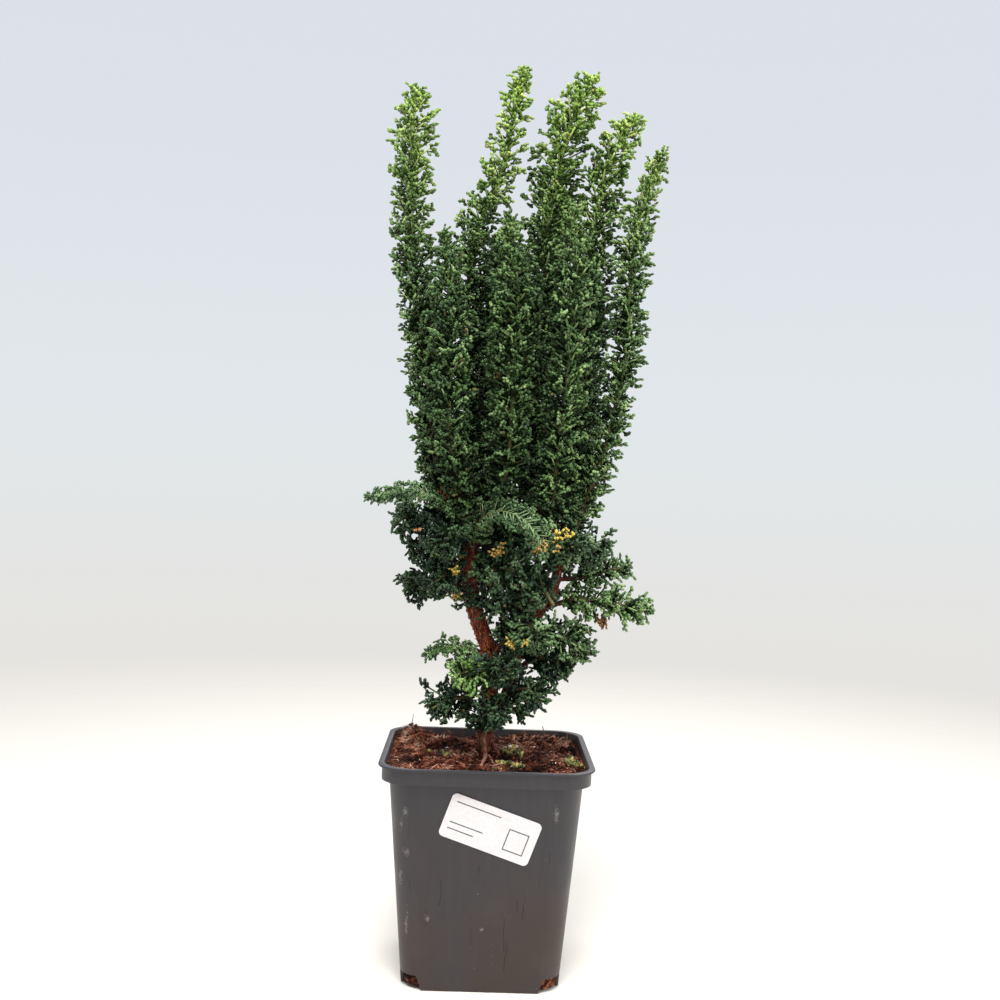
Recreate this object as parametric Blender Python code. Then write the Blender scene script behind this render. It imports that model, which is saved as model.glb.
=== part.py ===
"""Hinoki cypress grown as a small bonsai in a square plastic nursery pot.

The pot stands on z = 0 with its middle on the Z axis, and the front of the tree faces -Y.
Sizes and places below are in millimetres; the scene is in metres.
"""

import math
import random

import bmesh
import bpy
from mathutils import Matrix, Vector
from mathutils.kdtree import KDTree

MM = 0.001
GAP = 0.3

# Square pot: half widths over the outside, heights and wall.
POT_BASE_HALF = 41.3
POT_BODY_HALF = 50.3
POT_BAND_HALF = 54.2
POT_LIP_HALF = 56.0
POT_BASE_CORNER = 12.0
POT_BODY_CORNER = 12.0
POT_BAND_CORNER = 13.3
POT_LIP_CORNER = 15.0
POT_HEIGHT = 117.4
POT_BAND_BOTTOM = 108.9
POT_LIP_THICKNESS = 1.1
POT_WALL = 1.2
CORNER_STEPS = 6
NOTCH_STRAIGHT = 29.1
NOTCH_HEIGHT = 7.5
NOTCH_SLANT = 4.0

# Peat that fills the pot, with a plain hole for the trunk.
SOIL_TOP = 112.6
SOIL_HILLS = 1.9
SOIL_RINGS = 5
SOIL_HOLE_DEPTH = 24.0

# Sticker on the front face, turned clockwise as seen from the front.
LABEL_WIDTH = 48.5
LABEL_HEIGHT = 23.6
LABEL_CORNER = 2.5
LABEL_THICKNESS = 0.5
LABEL_TURN = math.radians(19.2)
LABEL_X = 2.7
LABEL_Z = 86.5

# Wood: the trunk and the second stem that leaves it near the soil.
TRUNK = (
    (0, 0, 106), (-1, 0, 122), (-1, -1, 134), (1, -2, 150), (1, -3, 166), (-4, -3, 180),
    (-10, -1, 196), (-13, 0, 212), (-13, 0, 228), (-11, 1, 242),
)
TRUNK_RADII = (7.0, 6.0, 5.4, 4.8, 4.5, 4.3, 4.1, 4.0, 3.8, 2.8)
SECOND_STEM = (
    (-1, -1, 124), (6, 0, 140), (11, -1, 152), (14, -2, 166), (18, -3, 178), (25, -4, 192),
    (31, -5, 201), (34, -5, 211), (36, -3, 222), (38, 0, 236),
)
SECOND_RADII = (3.4, 3.0, 2.8, 2.7, 2.6, 2.5, 2.5, 2.4, 2.3, 1.9)
TRUNK_SIDES = 8
LEADER_LIMB_RADII = (2.2, 1.6)
SPRAY_LIMB_RADII = (1.6, 1.2)
LEADER_LIMB_SIDES = 5
SPRAY_LIMB_SIDES = 3

# Upright leafy stems: fork on the wood, axis from its foot to its tip, reach, tip taper.
LEADERS = {
    "leader_left": (
        (-13, 0, 230),
        ((-19, -5, 243), (-28, -8, 258), (-35, -8, 284), (-38, -6, 312), (-42, -5, 339),
         (-46, -4, 366), (-50, -4, 393), (-51, -4, 414), (-51, -4, 441), (-51, -4, 457),
         (-51, -4, 479)),
        12.5, 26),
    "leader_front_left": (
        (-12, 0, 234),
        ((-15, -10, 244), (-19, -19, 258), (-24, -26, 278), (-26, -27, 300), (-27, -27, 337),
         (-28, -27, 362), (-30, -27, 380), (-31, -27, 394)),
        13.5, 22),
    "leader_middle_left": (
        (-11, 1, 241),
        ((-10, 7, 253), (-14, 9, 272), (-16, 10, 308), (-18, 12, 347), (-18, 12, 375),
         (-16, 12, 397), (-11, 12, 414), (-5, 12, 428), (-1, 12, 442), (2, 12, 460),
         (5, 12, 477), (8, 12, 494)),
        14.0, 90),
    "leader_front_middle": (
        (-12, 0, 237),
        ((-3, -9, 247), (3, -17, 259), (6, -23, 280), (7, -25, 307), (7, -26, 333),
         (8, -26, 359), (5, -26, 382), (1, -26, 403)),
        15.5, 28),
    "leader_inner": (
        (-11, 1, 240),
        ((0, 2, 255), (3, 2, 275), (3, 1, 305), (3, 1, 340), (4, 2, 375), (3, 3, 403)),
        13.0, 25),
    "leader_highest": (
        (37, -2, 228),
        ((23, 8, 249), (20, 12, 272), (20, 16, 310), (22, 18, 355), (23, 20, 389),
         (26, 20, 421), (30, 20, 443), (34, 20, 461), (39, 20, 475), (47, 20, 490)),
        17.0, 34),
    "leader_right": (
        (38, 0, 235),
        ((39, 8, 249), (41, 11, 272), (44, 14, 311), (48, 16, 344), (50, 16, 367),
         (50, 16, 395), (52, 16, 420), (55, 16, 438), (60, 16, 450), (65, 16, 459),
         (71, 16, 468)),
        14.5, 34),
    "leader_front_right": (
        (37, -2, 229),
        ((32, -9, 240), (31, -17, 257), (33, -21, 290), (36, -24, 324), (37, -24, 350),
         (38, -24, 371), (36, -24, 392), (35, -24, 411)),
        14.5, 28),
    "leader_far_right": (
        (38, -1, 231),
        ((44, -4, 238), (49, -4, 255), (57, -4, 277), (62, -4, 299), (66, -4, 321),
         (69, -4, 343), (69, -4, 365), (70, -4, 386), (72, -4, 405), (76, -4, 422),
         (80, -4, 434), (85, -4, 446)),
        11.0, 50),
    "leader_back_far_left": (
        (-12, 1, 237),
        ((-20, 10, 248), (-28, 20, 261), (-34, 27, 285), (-38, 30, 310), (-40, 31, 340),
         (-41, 31, 362), (-42, 31, 378)),
        13.0, 25),
    "leader_back_middle": (
        (-11, 1, 241),
        ((-4, 17, 252), (-6, 29, 267), (-6, 36, 300), (-5, 38, 340), (-4, 38, 380),
         (-4, 37, 405)),
        14.0, 28),
    "leader_back_right": (
        (37, -1, 232),
        ((26, 20, 250), (26, 32, 268), (28, 40, 300), (30, 42, 340), (30, 42, 390),
         (31, 42, 420), (32, 42, 440)),
        14.0, 28),
    "leader_back_far_right": (
        (38, 0, 234),
        ((43, 18, 248), (47, 30, 263), (49, 38, 290), (50, 40, 325), (50, 40, 360),
         (50, 40, 390), (50, 40, 403)),
        13.0, 25),
}

# Side sprays, in the same terms.
SPRAYS = {
    "spray_left_long": (
        (-13, 0, 226),
        ((-15, -8, 237), (-20, -16, 246), (-31, -22, 254), (-45, -24, 257), (-58, -22, 256),
         (-70, -20, 253)),
        11.0, 34),
    "spray_left_upper": (
        (-13, 0, 224), ((-19, 3, 231), (-28, 5, 240), (-42, 2, 243), (-54, -4, 241)), 16.0, 14),
    "spray_left_dark": (
        (-13, 0, 214), ((-19, 0, 218), (-28, -2, 224), (-38, -5, 226), (-46, -7, 223)), 17.0, 12),
    "spray_left_middle": (
        (-12, 0, 203), ((-18, -2, 206), (-27, -4, 210), (-38, -5, 208), (-48, -5, 203)), 14.0, 12),
    "spray_front_arch": (
        (-13, 0, 221),
        ((-11, -8, 229), (-9, -17, 240), (-1, -27, 248), (12, -34, 246), (22, -37, 237),
         (28, -37, 226)),
        20.0, 12),
    "spray_front_middle": (
        (-12, 0, 207), ((-8, -6, 211), (1, -13, 217), (11, -20, 216), (21, -23, 209)), 18.0, 10),
    "spray_front_low": (
        (-11, -1, 195), ((-5, -5, 197), (3, -10, 200), (13, -14, 198), (22, -15, 191)), 16.0, 10),
    "spray_front_left": (
        (-13, 0, 223), ((-17, -7, 228), (-21, -15, 233), (-25, -23, 232), (-29, -30, 224)),
        16.0, 10),
    "spray_front_right": (
        (36, -3, 221), ((36, -9, 224), (37, -17, 230), (38, -25, 231), (40, -31, 225)),
        16.0, 10),
    "spray_left_inner": (
        (-13, 0, 209), ((-18, -7, 210), (-24, -15, 213), (-29, -21, 211), (-33, -25, 205)),
        13.0, 9),
    "spray_right_inner": (
        (30, -5, 200), ((27, -11, 202), (26, -18, 206), (28, -25, 206), (32, -30, 200)),
        14.0, 9),
    "spray_middle": (
        (-13, 0, 219), ((-7, 2, 224), (3, 4, 231), (13, 4, 234), (24, 3, 231)), 17.0, 10),
    "spray_left_small": (
        (0, -3, 168), ((-5, -7, 170), (-13, -11, 173), (-24, -12, 174), (-36, -10, 169)), 9.0, 25),
    "spray_left_bright": (
        (1, -2, 156), ((-3, -8, 157), (-8, -13, 160), (-14, -17, 161), (-20, -19, 158)), 14.0, 8),
    "spray_left_lowest": (
        (0, -1, 138), ((-7, -4, 141), (-13, -8, 146), (-22, -10, 145), (-32, -11, 139)), 15.0, 12),
    "spray_front_trunk": (
        (2, -2, 160), ((1, -9, 160), (1, -15, 164), (6, -21, 166), (13, -24, 160)), 16.0, 8),
    "spray_front_second": (
        (1, -3, 172), ((5, -9, 175), (9, -12, 181), (15, -14, 182), (21, -15, 176)), 16.0, 8),
    "spray_right_low": (
        (10, -1, 147), ((12, -5, 148), (16, -10, 152), (22, -14, 152), (28, -15, 144)), 15.0, 10),
    "spray_right_lowest": (
        (6, 0, 139), ((11, -1, 138), (15, -2, 140), (22, -4, 138)), 9.0, 7),
    "spray_right_hanging": (
        (22, -3, 186), ((20, -9, 186), (20, -16, 188), (23, -22, 185), (27, -25, 177)), 16.0, 10),
    "spray_right_broad": (
        (19, -3, 179), ((24, -6, 180), (33, -10, 182), (43, -11, 179), (53, -9, 172)), 15.0, 12),
    "spray_right_dark": (
        (14, -2, 164), ((19, -3, 165), (26, -5, 169), (35, -6, 167), (43, -7, 161)), 15.0, 12),
    "spray_right_long": (
        (31, -5, 199),
        ((36, -9, 199), (45, -11, 202), (57, -10, 201), (70, -9, 199), (88, -8, 196)), 12.0, 20),
    "spray_right_upper": (
        (35, -4, 212), ((40, -3, 212), (49, -2, 213), (62, -1, 217), (76, 0, 220)), 13.0, 26),
    "spray_right_top": (
        (36, -3, 222), ((41, -7, 226), (47, -11, 230), (54, -13, 230), (61, -12, 225)), 16.0, 12),
    "spray_front_base": (
        (-1, -1, 127), ((1, -8, 131), (-1, -14, 138), (3, -20, 141), (9, -24, 137)), 13.0, 7),
    "spray_back_left": (
        (-13, 0, 229), ((-15, 6, 234), (-18, 18, 242), (-23, 32, 246), (-29, 44, 242)), 17.0, 13),
    "spray_back_upper": (
        (-12, 1, 226), ((-8, 7, 231), (-2, 18, 240), (4, 30, 243), (9, 42, 238)), 17.0, 13),
    "spray_back_middle": (
        (-12, 0, 205), ((-11, 6, 208), (-9, 16, 213), (-5, 29, 215), (0, 42, 208)), 17.0, 13),
    "spray_back_right": (
        (35, -3, 215), ((35, 4, 218), (36, 14, 225), (39, 28, 229), (42, 40, 223)), 17.0, 13),
    "spray_back_second": (
        (26, -4, 193), ((24, 2, 195), (22, 11, 201), (24, 22, 204), (30, 34, 198)), 16.0, 11),
    "spray_back_low": (
        (14, -2, 168), ((14, 4, 170), (15, 13, 175), (17, 25, 176), (20, 36, 169)), 16.0, 11),
    "spray_back_lowest": (
        (1, -2, 152), ((-2, 5, 153), (-6, 12, 157), (-11, 22, 157), (-15, 31, 151)), 13.0, 11),
}

# Foliage: tufts raised from a slim core, with lobed fans that stand out further.
# Relief: tufts in a ring, share of the reach kept in hollows, pitch of rings, foot radius.
AXIS_STEP = 2.0
LEADER_RELIEF = (5, 0.45, 9.5, LEADER_LIMB_RADII[1])
SPRAY_RELIEF = (4, 0.62, 6.5, SPRAY_LIMB_RADII[1])
TUFT_SHARE = 0.92
TUFT_RISE = 4.0
TUFT_CLEAR = 1.4
TIP_RADIUS = 1.0
TIP_SHARE = 0.22
FOOT_SHARE = 0.7
FAN_PITCH = 3.8
FAN_TURN = math.radians(137.5)
FAN_TILT_FOOT = math.radians(68)
FAN_TILT_TIP = math.radians(38)
FAN_THICKNESS = 2.6
FAN_SHORTEST = 6.0
FAN_WIDTH = 0.72
FAN_CLEAR = 3.4
WOOD_CLEAR = 1.9
SOIL_CLEAR = 118.5
SHRINK = (1.0, 0.88, 0.76, 0.64, 0.52, 0.4, 0.28)
# Outline of a fan with three blunt lobes, as shares of its length and of half its width.
FAN_OUTLINE = (
    (0.0, 0.0), (0.38, -0.36), (0.7, -1.0), (0.74, -0.34), (0.99, -0.2), (0.96, 0.24),
    (0.72, 0.4), (0.8, 1.0), (0.36, 0.4),
)


def clear_scene():
    for obj in list(bpy.data.objects):
        bpy.data.objects.remove(obj)


def material(name, colour, roughness):
    """A plain Principled material, from an sRGB colour."""
    finish = bpy.data.materials.new(name)
    finish.use_nodes = True
    shader = finish.node_tree.nodes["Principled BSDF"]
    linear = [((c / 255 + 0.055) / 1.055) ** 2.4 for c in colour]
    shader.inputs["Base Color"].default_value = (*linear, 1)
    shader.inputs["Roughness"].default_value = roughness
    shader.inputs["Metallic"].default_value = 0
    finish.diffuse_color = (*linear, 1)
    return finish


def add_object(name, bm, finish=None):
    """Turns a bmesh in millimetres into an object in metres."""
    bmesh.ops.scale(bm, vec=(MM, MM, MM), verts=bm.verts)
    mesh = bpy.data.meshes.new(name)
    bm.to_mesh(mesh)
    bm.free()
    obj = bpy.data.objects.new(name, mesh)
    bpy.context.scene.collection.objects.link(obj)
    if finish:
        mesh.materials.append(finish)
    return obj


def apply_boolean(obj, operation, others, solver):
    """Cuts or joins the other objects in one go, then removes them."""
    group = bpy.data.collections.new(obj.name + "_pieces")
    bpy.context.scene.collection.children.link(group)
    for other in others:
        bpy.context.scene.collection.objects.unlink(other)
        group.objects.link(other)
    boolean = obj.modifiers.new("Boolean", "BOOLEAN")
    boolean.operation = operation
    boolean.solver = solver
    boolean.operand_type = "COLLECTION"
    boolean.collection = group
    graph = bpy.context.evaluated_depsgraph_get()
    joined = bpy.data.meshes.new_from_object(obj.evaluated_get(graph))
    obj.modifiers.remove(boolean)
    old = obj.data
    obj.data = joined
    joined.name = obj.name
    bpy.data.meshes.remove(old)
    for other in others:
        bpy.data.objects.remove(other)
    bpy.data.collections.remove(group)


def keep_main_shell(obj):
    """Fills hollows that joining sealed and drops loose scraps: only the largest shell stays."""
    bm = bmesh.new()
    bm.from_mesh(obj.data)
    seen, shells = set(), []
    for start in bm.faces:
        if start in seen:
            continue
        shell, waiting = [], [start]
        seen.add(start)
        while waiting:
            face = waiting.pop()
            shell.append(face)
            for edge in face.edges:
                for beside in edge.link_faces:
                    if beside not in seen:
                        seen.add(beside)
                        waiting.append(beside)
        shells.append(shell)
    shells.sort(key=lambda faces: sum(face.calc_area() for face in faces))
    scrap = [face for shell in shells[:-1] for face in shell]
    if scrap:
        bmesh.ops.delete(bm, geom=scrap, context="FACES")
    bm.to_mesh(obj.data)
    bm.free()


def rounded_square(half, corner, height):
    """Points round a square with rounded corners, anticlockwise from above."""
    points = []
    for quarter in range(4):
        middle = Matrix.Rotation(math.pi / 2 * quarter, 3, "Z") @ Vector(
            (half - corner, half - corner, 0))
        for step in range(CORNER_STEPS + 1):
            angle = math.pi / 2 * (quarter + step / CORNER_STEPS)
            points.append(middle + Vector(
                (corner * math.cos(angle), corner * math.sin(angle), height)))
    return points


def loft(bm, rings):
    """Joins rings of equal count with quads, and closes the first and the last one."""
    loops = [[bm.verts.new(point) for point in ring] for ring in rings]
    count = len(loops[0])
    for lower, upper in zip(loops, loops[1:]):
        for i in range(count):
            j = (i + 1) % count
            bm.faces.new((lower[i], lower[j], upper[j], upper[i]))
    foot = bm.faces.new(reversed(loops[0]))
    top = bm.faces.new(loops[-1])
    return foot, top


def body_half(height):
    """Half width over the outside of the tapered body at a height."""
    return POT_BASE_HALF + (POT_BODY_HALF - POT_BASE_HALF) * height / POT_BAND_BOTTOM


def corner_cutter(index):
    """A slanted block that cuts one drain notch out of a lower corner."""
    bm = bmesh.new()
    near = NOTCH_STRAIGHT
    far = POT_BODY_HALF
    bmesh.ops.create_cube(bm, size=1)
    for vert in bm.verts:
        inner = near + (NOTCH_SLANT if vert.co.z > 0 else 0)
        x = inner if vert.co.x < 0 else far
        y = inner if vert.co.y < 0 else far
        vert.co = (x, y, NOTCH_HEIGHT if vert.co.z > 0 else -2 * POT_WALL)
    bmesh.ops.rotate(bm, verts=bm.verts, cent=(0, 0, 0),
                     matrix=Matrix.Rotation(math.pi / 2 * index, 3, "Z"))
    return add_object("notch_cutter", bm)


def build_pot():
    """One moulded shell: tapered body, stepped rim band, thin lip, and four drain notches."""
    lip_bottom = POT_HEIGHT - POT_LIP_THICKNESS
    inner_step = POT_BAND_BOTTOM + POT_WALL
    rings = (
        (POT_BASE_HALF, POT_BASE_CORNER, 0),
        (POT_BODY_HALF, POT_BODY_CORNER, POT_BAND_BOTTOM),
        (POT_BAND_HALF, POT_BAND_CORNER, POT_BAND_BOTTOM),
        (POT_BAND_HALF, POT_BAND_CORNER, lip_bottom),
        (POT_LIP_HALF, POT_LIP_CORNER, lip_bottom),
        (POT_LIP_HALF, POT_LIP_CORNER, POT_HEIGHT),
        (POT_BAND_HALF - POT_WALL, POT_BAND_CORNER - POT_WALL, POT_HEIGHT),
        (POT_BAND_HALF - POT_WALL, POT_BAND_CORNER - POT_WALL, inner_step),
        (POT_BODY_HALF - POT_WALL, POT_BODY_CORNER - POT_WALL, inner_step),
        (body_half(POT_WALL) - POT_WALL, POT_BASE_CORNER - POT_WALL, POT_WALL),
    )
    bm = bmesh.new()
    loft(bm, [rounded_square(*ring) for ring in rings])
    bmesh.ops.recalc_face_normals(bm, faces=bm.faces)
    pot = add_object("pot", bm, material("dark_grey_plastic", (80, 76, 78), 0.45))
    apply_boolean(pot, "DIFFERENCE", [corner_cutter(i) for i in range(4)], "EXACT")
    return pot


def soil_height(x, y):
    """Height of the uneven peat surface."""
    waves = (math.sin(x / 9.0 + 0.6) * math.cos(y / 7.5 - 0.4)
             + 0.7 * math.sin((x + 2 * y) / 6.1 + 1.1)
             + 0.5 * math.cos((x - y) / 4.3))
    back_left = math.exp(-((x + 40) ** 2 + (y - 36) ** 2) / 160)
    back_right = math.exp(-((x - 30) ** 2 + (y - 38) ** 2) / 200)
    return SOIL_TOP + SOIL_HILLS * (0.55 * waves + 1.5 * back_left + 0.9 * back_right)


def build_soil():
    """Peat block 0.3 mm clear of the pot, its top raised and lowered by a formula."""
    inside = POT_WALL + GAP
    step = POT_BAND_BOTTOM + inside
    edge, corner = POT_BAND_HALF - inside, POT_BAND_CORNER - inside
    rings = [
        (body_half(inside) - inside, POT_BASE_CORNER - inside, inside),
        (POT_BODY_HALF - inside, POT_BODY_CORNER - inside, step),
        (edge, corner, step),
    ]
    for i in range(SOIL_RINGS + 1):
        share = 1 - i / (SOIL_RINGS + 1)
        rings.append((edge * share, corner * share, SOIL_TOP))
    bm = bmesh.new()
    _, top = loft(bm, [rounded_square(*ring) for ring in rings])
    for vert in bm.verts:
        if vert.co.z > step + GAP:
            vert.co.z = soil_height(vert.co.x, vert.co.y)
    bmesh.ops.poke(bm, faces=[top])
    bmesh.ops.recalc_face_normals(bm, faces=bm.faces)
    bmesh.ops.triangulate(bm, faces=bm.faces)
    soil = add_object("soil", bm, material("peat", (66, 40, 30), 0.95))
    hole = bmesh.new()
    radius = TRUNK_RADII[0] + 2 * GAP
    bmesh.ops.create_cone(
        hole, cap_ends=True, segments=2 * TRUNK_SIDES, radius1=radius, radius2=radius,
        depth=2 * SOIL_HOLE_DEPTH, matrix=Matrix.Translation((TRUNK[0][0], TRUNK[0][1], SOIL_TOP)))
    apply_boolean(soil, "DIFFERENCE", [add_object("trunk_hole", hole)], "EXACT")
    return soil


def build_label():
    """A blank sticker with rounded corners, 0.3 mm off the tapered front face."""
    bm = bmesh.new()
    outline = []
    for quarter in range(4):
        across = (LABEL_WIDTH / 2 - LABEL_CORNER) * (1 if quarter in (0, 3) else -1)
        up = (LABEL_HEIGHT / 2 - LABEL_CORNER) * (1 if quarter in (0, 1) else -1)
        for step in range(4):
            angle = math.pi / 2 * (quarter + step / 3)
            outline.append((across + LABEL_CORNER * math.cos(angle), 0,
                            up + LABEL_CORNER * math.sin(angle)))
    face = bm.faces.new([bm.verts.new(point) for point in outline])
    grown = bmesh.ops.extrude_face_region(bm, geom=[face])["geom"]
    bmesh.ops.translate(bm, vec=(0, -LABEL_THICKNESS, 0),
                        verts=[item for item in grown if isinstance(item, bmesh.types.BMVert)])
    bmesh.ops.recalc_face_normals(bm, faces=bm.faces)
    slope = math.atan2(POT_BODY_HALF - POT_BASE_HALF, POT_BAND_BOTTOM)
    front = -(body_half(LABEL_Z) + GAP / math.cos(slope))
    place = (Matrix.Translation((LABEL_X, front, LABEL_Z))
             @ Matrix.Rotation(slope, 4, "X")
             @ Matrix.Rotation(LABEL_TURN, 4, "Y"))
    bmesh.ops.transform(bm, matrix=place, verts=bm.verts)
    return add_object("label", bm, material("white_paper", (236, 236, 232), 0.6))


def smooth_path(points, step):
    """Evenly spaced points on a smooth curve through the given ones."""
    knots = [Vector(point) for point in points]
    knots = [2 * knots[0] - knots[1], *knots, 2 * knots[-1] - knots[-2]]
    fine = [knots[1]]
    for a, b, c, d in zip(knots, knots[1:], knots[2:], knots[3:]):
        for i in range(1, 13):
            t = i / 12
            fine.append(0.5 * (2 * b + (c - a) * t + (2 * a - 5 * b + 4 * c - d) * t * t
                               + (3 * b - a - 3 * c + d) * t ** 3))
    lengths = [0.0]
    for a, b in zip(fine, fine[1:]):
        lengths.append(lengths[-1] + (b - a).length)
    count = max(2, round(lengths[-1] / step))
    even, i = [], 0
    for n in range(count + 1):
        wanted = lengths[-1] * n / count
        while i < len(fine) - 2 and lengths[i + 1] < wanted:
            i += 1
        share = (wanted - lengths[i]) / (lengths[i + 1] - lengths[i])
        even.append(fine[i].lerp(fine[i + 1], share))
    return even


def direction(path, i):
    """Unit tangent of a path at its point i."""
    return (path[min(i + 1, len(path) - 1)] - path[max(i - 1, 0)]).normalized()


def tube(path, radii, sides):
    """A closed tube along a path, with flat ends square to it."""
    bm = bmesh.new()
    side = direction(path, 0).orthogonal().normalized()
    rings = []
    for i, (middle, radius) in enumerate(zip(path, radii)):
        along = direction(path, i)
        side = (side - along * side.dot(along)).normalized()
        across = along.cross(side)
        rings.append([
            middle + radius * (side * math.cos(2 * math.pi * n / sides)
                               + across * math.sin(2 * math.pi * n / sides))
            for n in range(sides)])
    loft(bm, rings)
    bmesh.ops.recalc_face_normals(bm, faces=bm.faces)
    return bm


def radii_along(radii, count):
    """Radii given at even stations, read at a number of even points."""
    read = []
    for i in range(count):
        at = i / (count - 1) * (len(radii) - 1)
        low = min(int(at), len(radii) - 2)
        read.append(radii[low] + (radii[low + 1] - radii[low]) * (at - low))
    return read


def limb_path(fork, axis):
    """From the fork on the wood to just under the flat foot of a leafy stem."""
    foot = Vector(axis[0])
    along = direction(smooth_path(axis, AXIS_STEP), 0)
    return [Vector(fork), foot - along * 4, foot - along * GAP]


def wood_members():
    """Every round piece of the wood as (path, radii, sides)."""
    members = []
    for points, radii in ((TRUNK, TRUNK_RADII), (SECOND_STEM, SECOND_RADII)):
        path = smooth_path(points, 12)
        members.append((path, radii_along(radii, len(path)), TRUNK_SIDES))
    for stems, radii, sides in ((LEADERS, LEADER_LIMB_RADII, LEADER_LIMB_SIDES),
                                (SPRAYS, SPRAY_LIMB_RADII, SPRAY_LIMB_SIDES)):
        for fork, axis, _, _ in stems.values():
            path = limb_path(fork, axis)
            members.append((path, radii_along(radii, len(path)), sides))
    return members


def build_trunk():
    """Trunk, second stem and the short limbs that carry the leafy stems, grown as one."""
    wood = []
    for path, radii, sides in wood_members():
        wood.append(add_object("wood", tube(path, radii, sides)))
    below = [Vector(TRUNK[0]) - Vector((0, 0, SOIL_HOLE_DEPTH - (SOIL_TOP - TRUNK[0][2]) - GAP)),
             Vector(TRUNK[0]) + Vector((0, 0, 2))]
    wood.append(add_object("wood", tube(below, [TRUNK_RADII[0]] * 2, TRUNK_SIDES)))
    trunk = wood[0]
    trunk.name = "trunk"
    trunk.data.materials.append(material("red_brown_bark", (104, 56, 36), 0.9))
    apply_boolean(trunk, "UNION", wood[1:], "MANIFOLD")
    keep_main_shell(trunk)
    return trunk


def stem_radius(at, length, widest, taper):
    """Reach of the foliage from the axis, at a distance from the stem's foot."""
    from_tip = TIP_SHARE + (1 - TIP_SHARE) * min(1.0, (length - at) / taper) ** 0.7
    from_foot = FOOT_SHARE + (1 - FOOT_SHARE) * min(1.0, at / (0.8 * widest))
    return widest * from_tip * from_foot


def tree_of(paths):
    """Search tree over the points of several paths."""
    points = [point for path in paths for point in path]
    tree = KDTree(len(points))
    for i, point in enumerate(points):
        tree.insert(point, i)
    tree.balance()
    return tree


def nearest(point, tree):
    """Distance from a point to the closest point in a search tree."""
    return tree.find(point)[2]


def build_axes():
    """Evenly spaced points along each leafy stem."""
    return {name: smooth_path(stem[1], AXIS_STEP)
            for name, stem in {**LEADERS, **SPRAYS}.items()}


def fan_points(root, along, across, length):
    """Where a fan could touch something: its middle line and its lobes."""
    half = FAN_WIDTH * length / 2
    return [root + along * (x * length) + across * (y * half) for x, y in (
        (0.4, 0), (0.6, 0), (0.8, 0), (1.02, 0), (0.72, -1.05), (0.76, 1.05), (0.5, -0.7),
        (0.5, 0.7))]


def clear_of_all(points, own, others, margin):
    """Whether points lie nearer to their own stem than to any other, and clear of the wood."""
    for point in points:
        if point.z < SOIL_CLEAR or nearest(point, others) - nearest(point, own) < margin:
            return False
        for path, radii, _ in WOOD:
            for a, b, radius in zip(path, path[1:], radii):
                share = max(0.0, min(1.0, (point - a).dot(b - a) / (b - a).length_squared))
                if (point - a.lerp(b, share)).length < radius + WOOD_CLEAR:
                    return False
    return True


def fans_of(name, axis, others, widest, taper):
    """Places of a stem's fans as (root, along, across, length), kept clear of neighbours."""
    rng = random.Random(name)
    own = tree_of([axis])
    step = (axis[1] - axis[0]).length
    length = step * (len(axis) - 1)
    fans = []
    at, count = 3.0, 0
    turn = rng.uniform(0, 2 * math.pi)
    while at < length - 0.5:
        i = min(round(at / step), len(axis) - 2)
        along = direction(axis, i)
        count += 1
        angle = turn + count * FAN_TURN + rng.uniform(-0.35, 0.35)
        outward = Matrix.Rotation(angle, 3, along) @ along.orthogonal().normalized()
        tilt = FAN_TILT_FOOT + (FAN_TILT_TIP - FAN_TILT_FOOT) * (at / length) ** 1.5
        reach = stem_radius(at, length, widest, taper)
        size = reach / math.sin(tilt) * rng.uniform(0.95, 1.15)
        pointing = (along * math.cos(tilt) + outward * math.sin(tilt)).normalized()
        across = Matrix.Rotation(rng.uniform(-0.9, 0.9), 3, pointing) @ pointing.cross(
            along).normalized()
        for shrink in SHRINK:
            tried = size * shrink
            points = fan_points(axis[i], pointing, across, tried)
            if tried > FAN_SHORTEST and clear_of_all(points, own, others, FAN_CLEAR):
                fans.append((axis[i], pointing, across, tried))
                break
        at += FAN_PITCH * max(reach * 0.5, 2.5)
    return fans


def fan_object(root, along, across, length):
    """One lobed fan: a flat outline whose two faces rise to a ridge in the middle."""
    bm = bmesh.new()
    half = FAN_WIDTH * length / 2
    outline = [(x * length, y * half, 0) for x, y in FAN_OUTLINE]
    verts = [bm.verts.new(point) for point in outline]
    for order in (verts, reversed(verts)):
        side = bm.faces.new(order)
        side.normal_update()
        bmesh.ops.poke(bm, faces=[side], offset=FAN_THICKNESS / 2)
    bmesh.ops.recalc_face_normals(bm, faces=bm.faces)
    normal = along.cross(across)
    place = Matrix((along, across, normal)).transposed().to_4x4()
    place.translation = root
    bmesh.ops.transform(bm, matrix=place, verts=bm.verts)
    return add_object("fan", bm)


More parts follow.
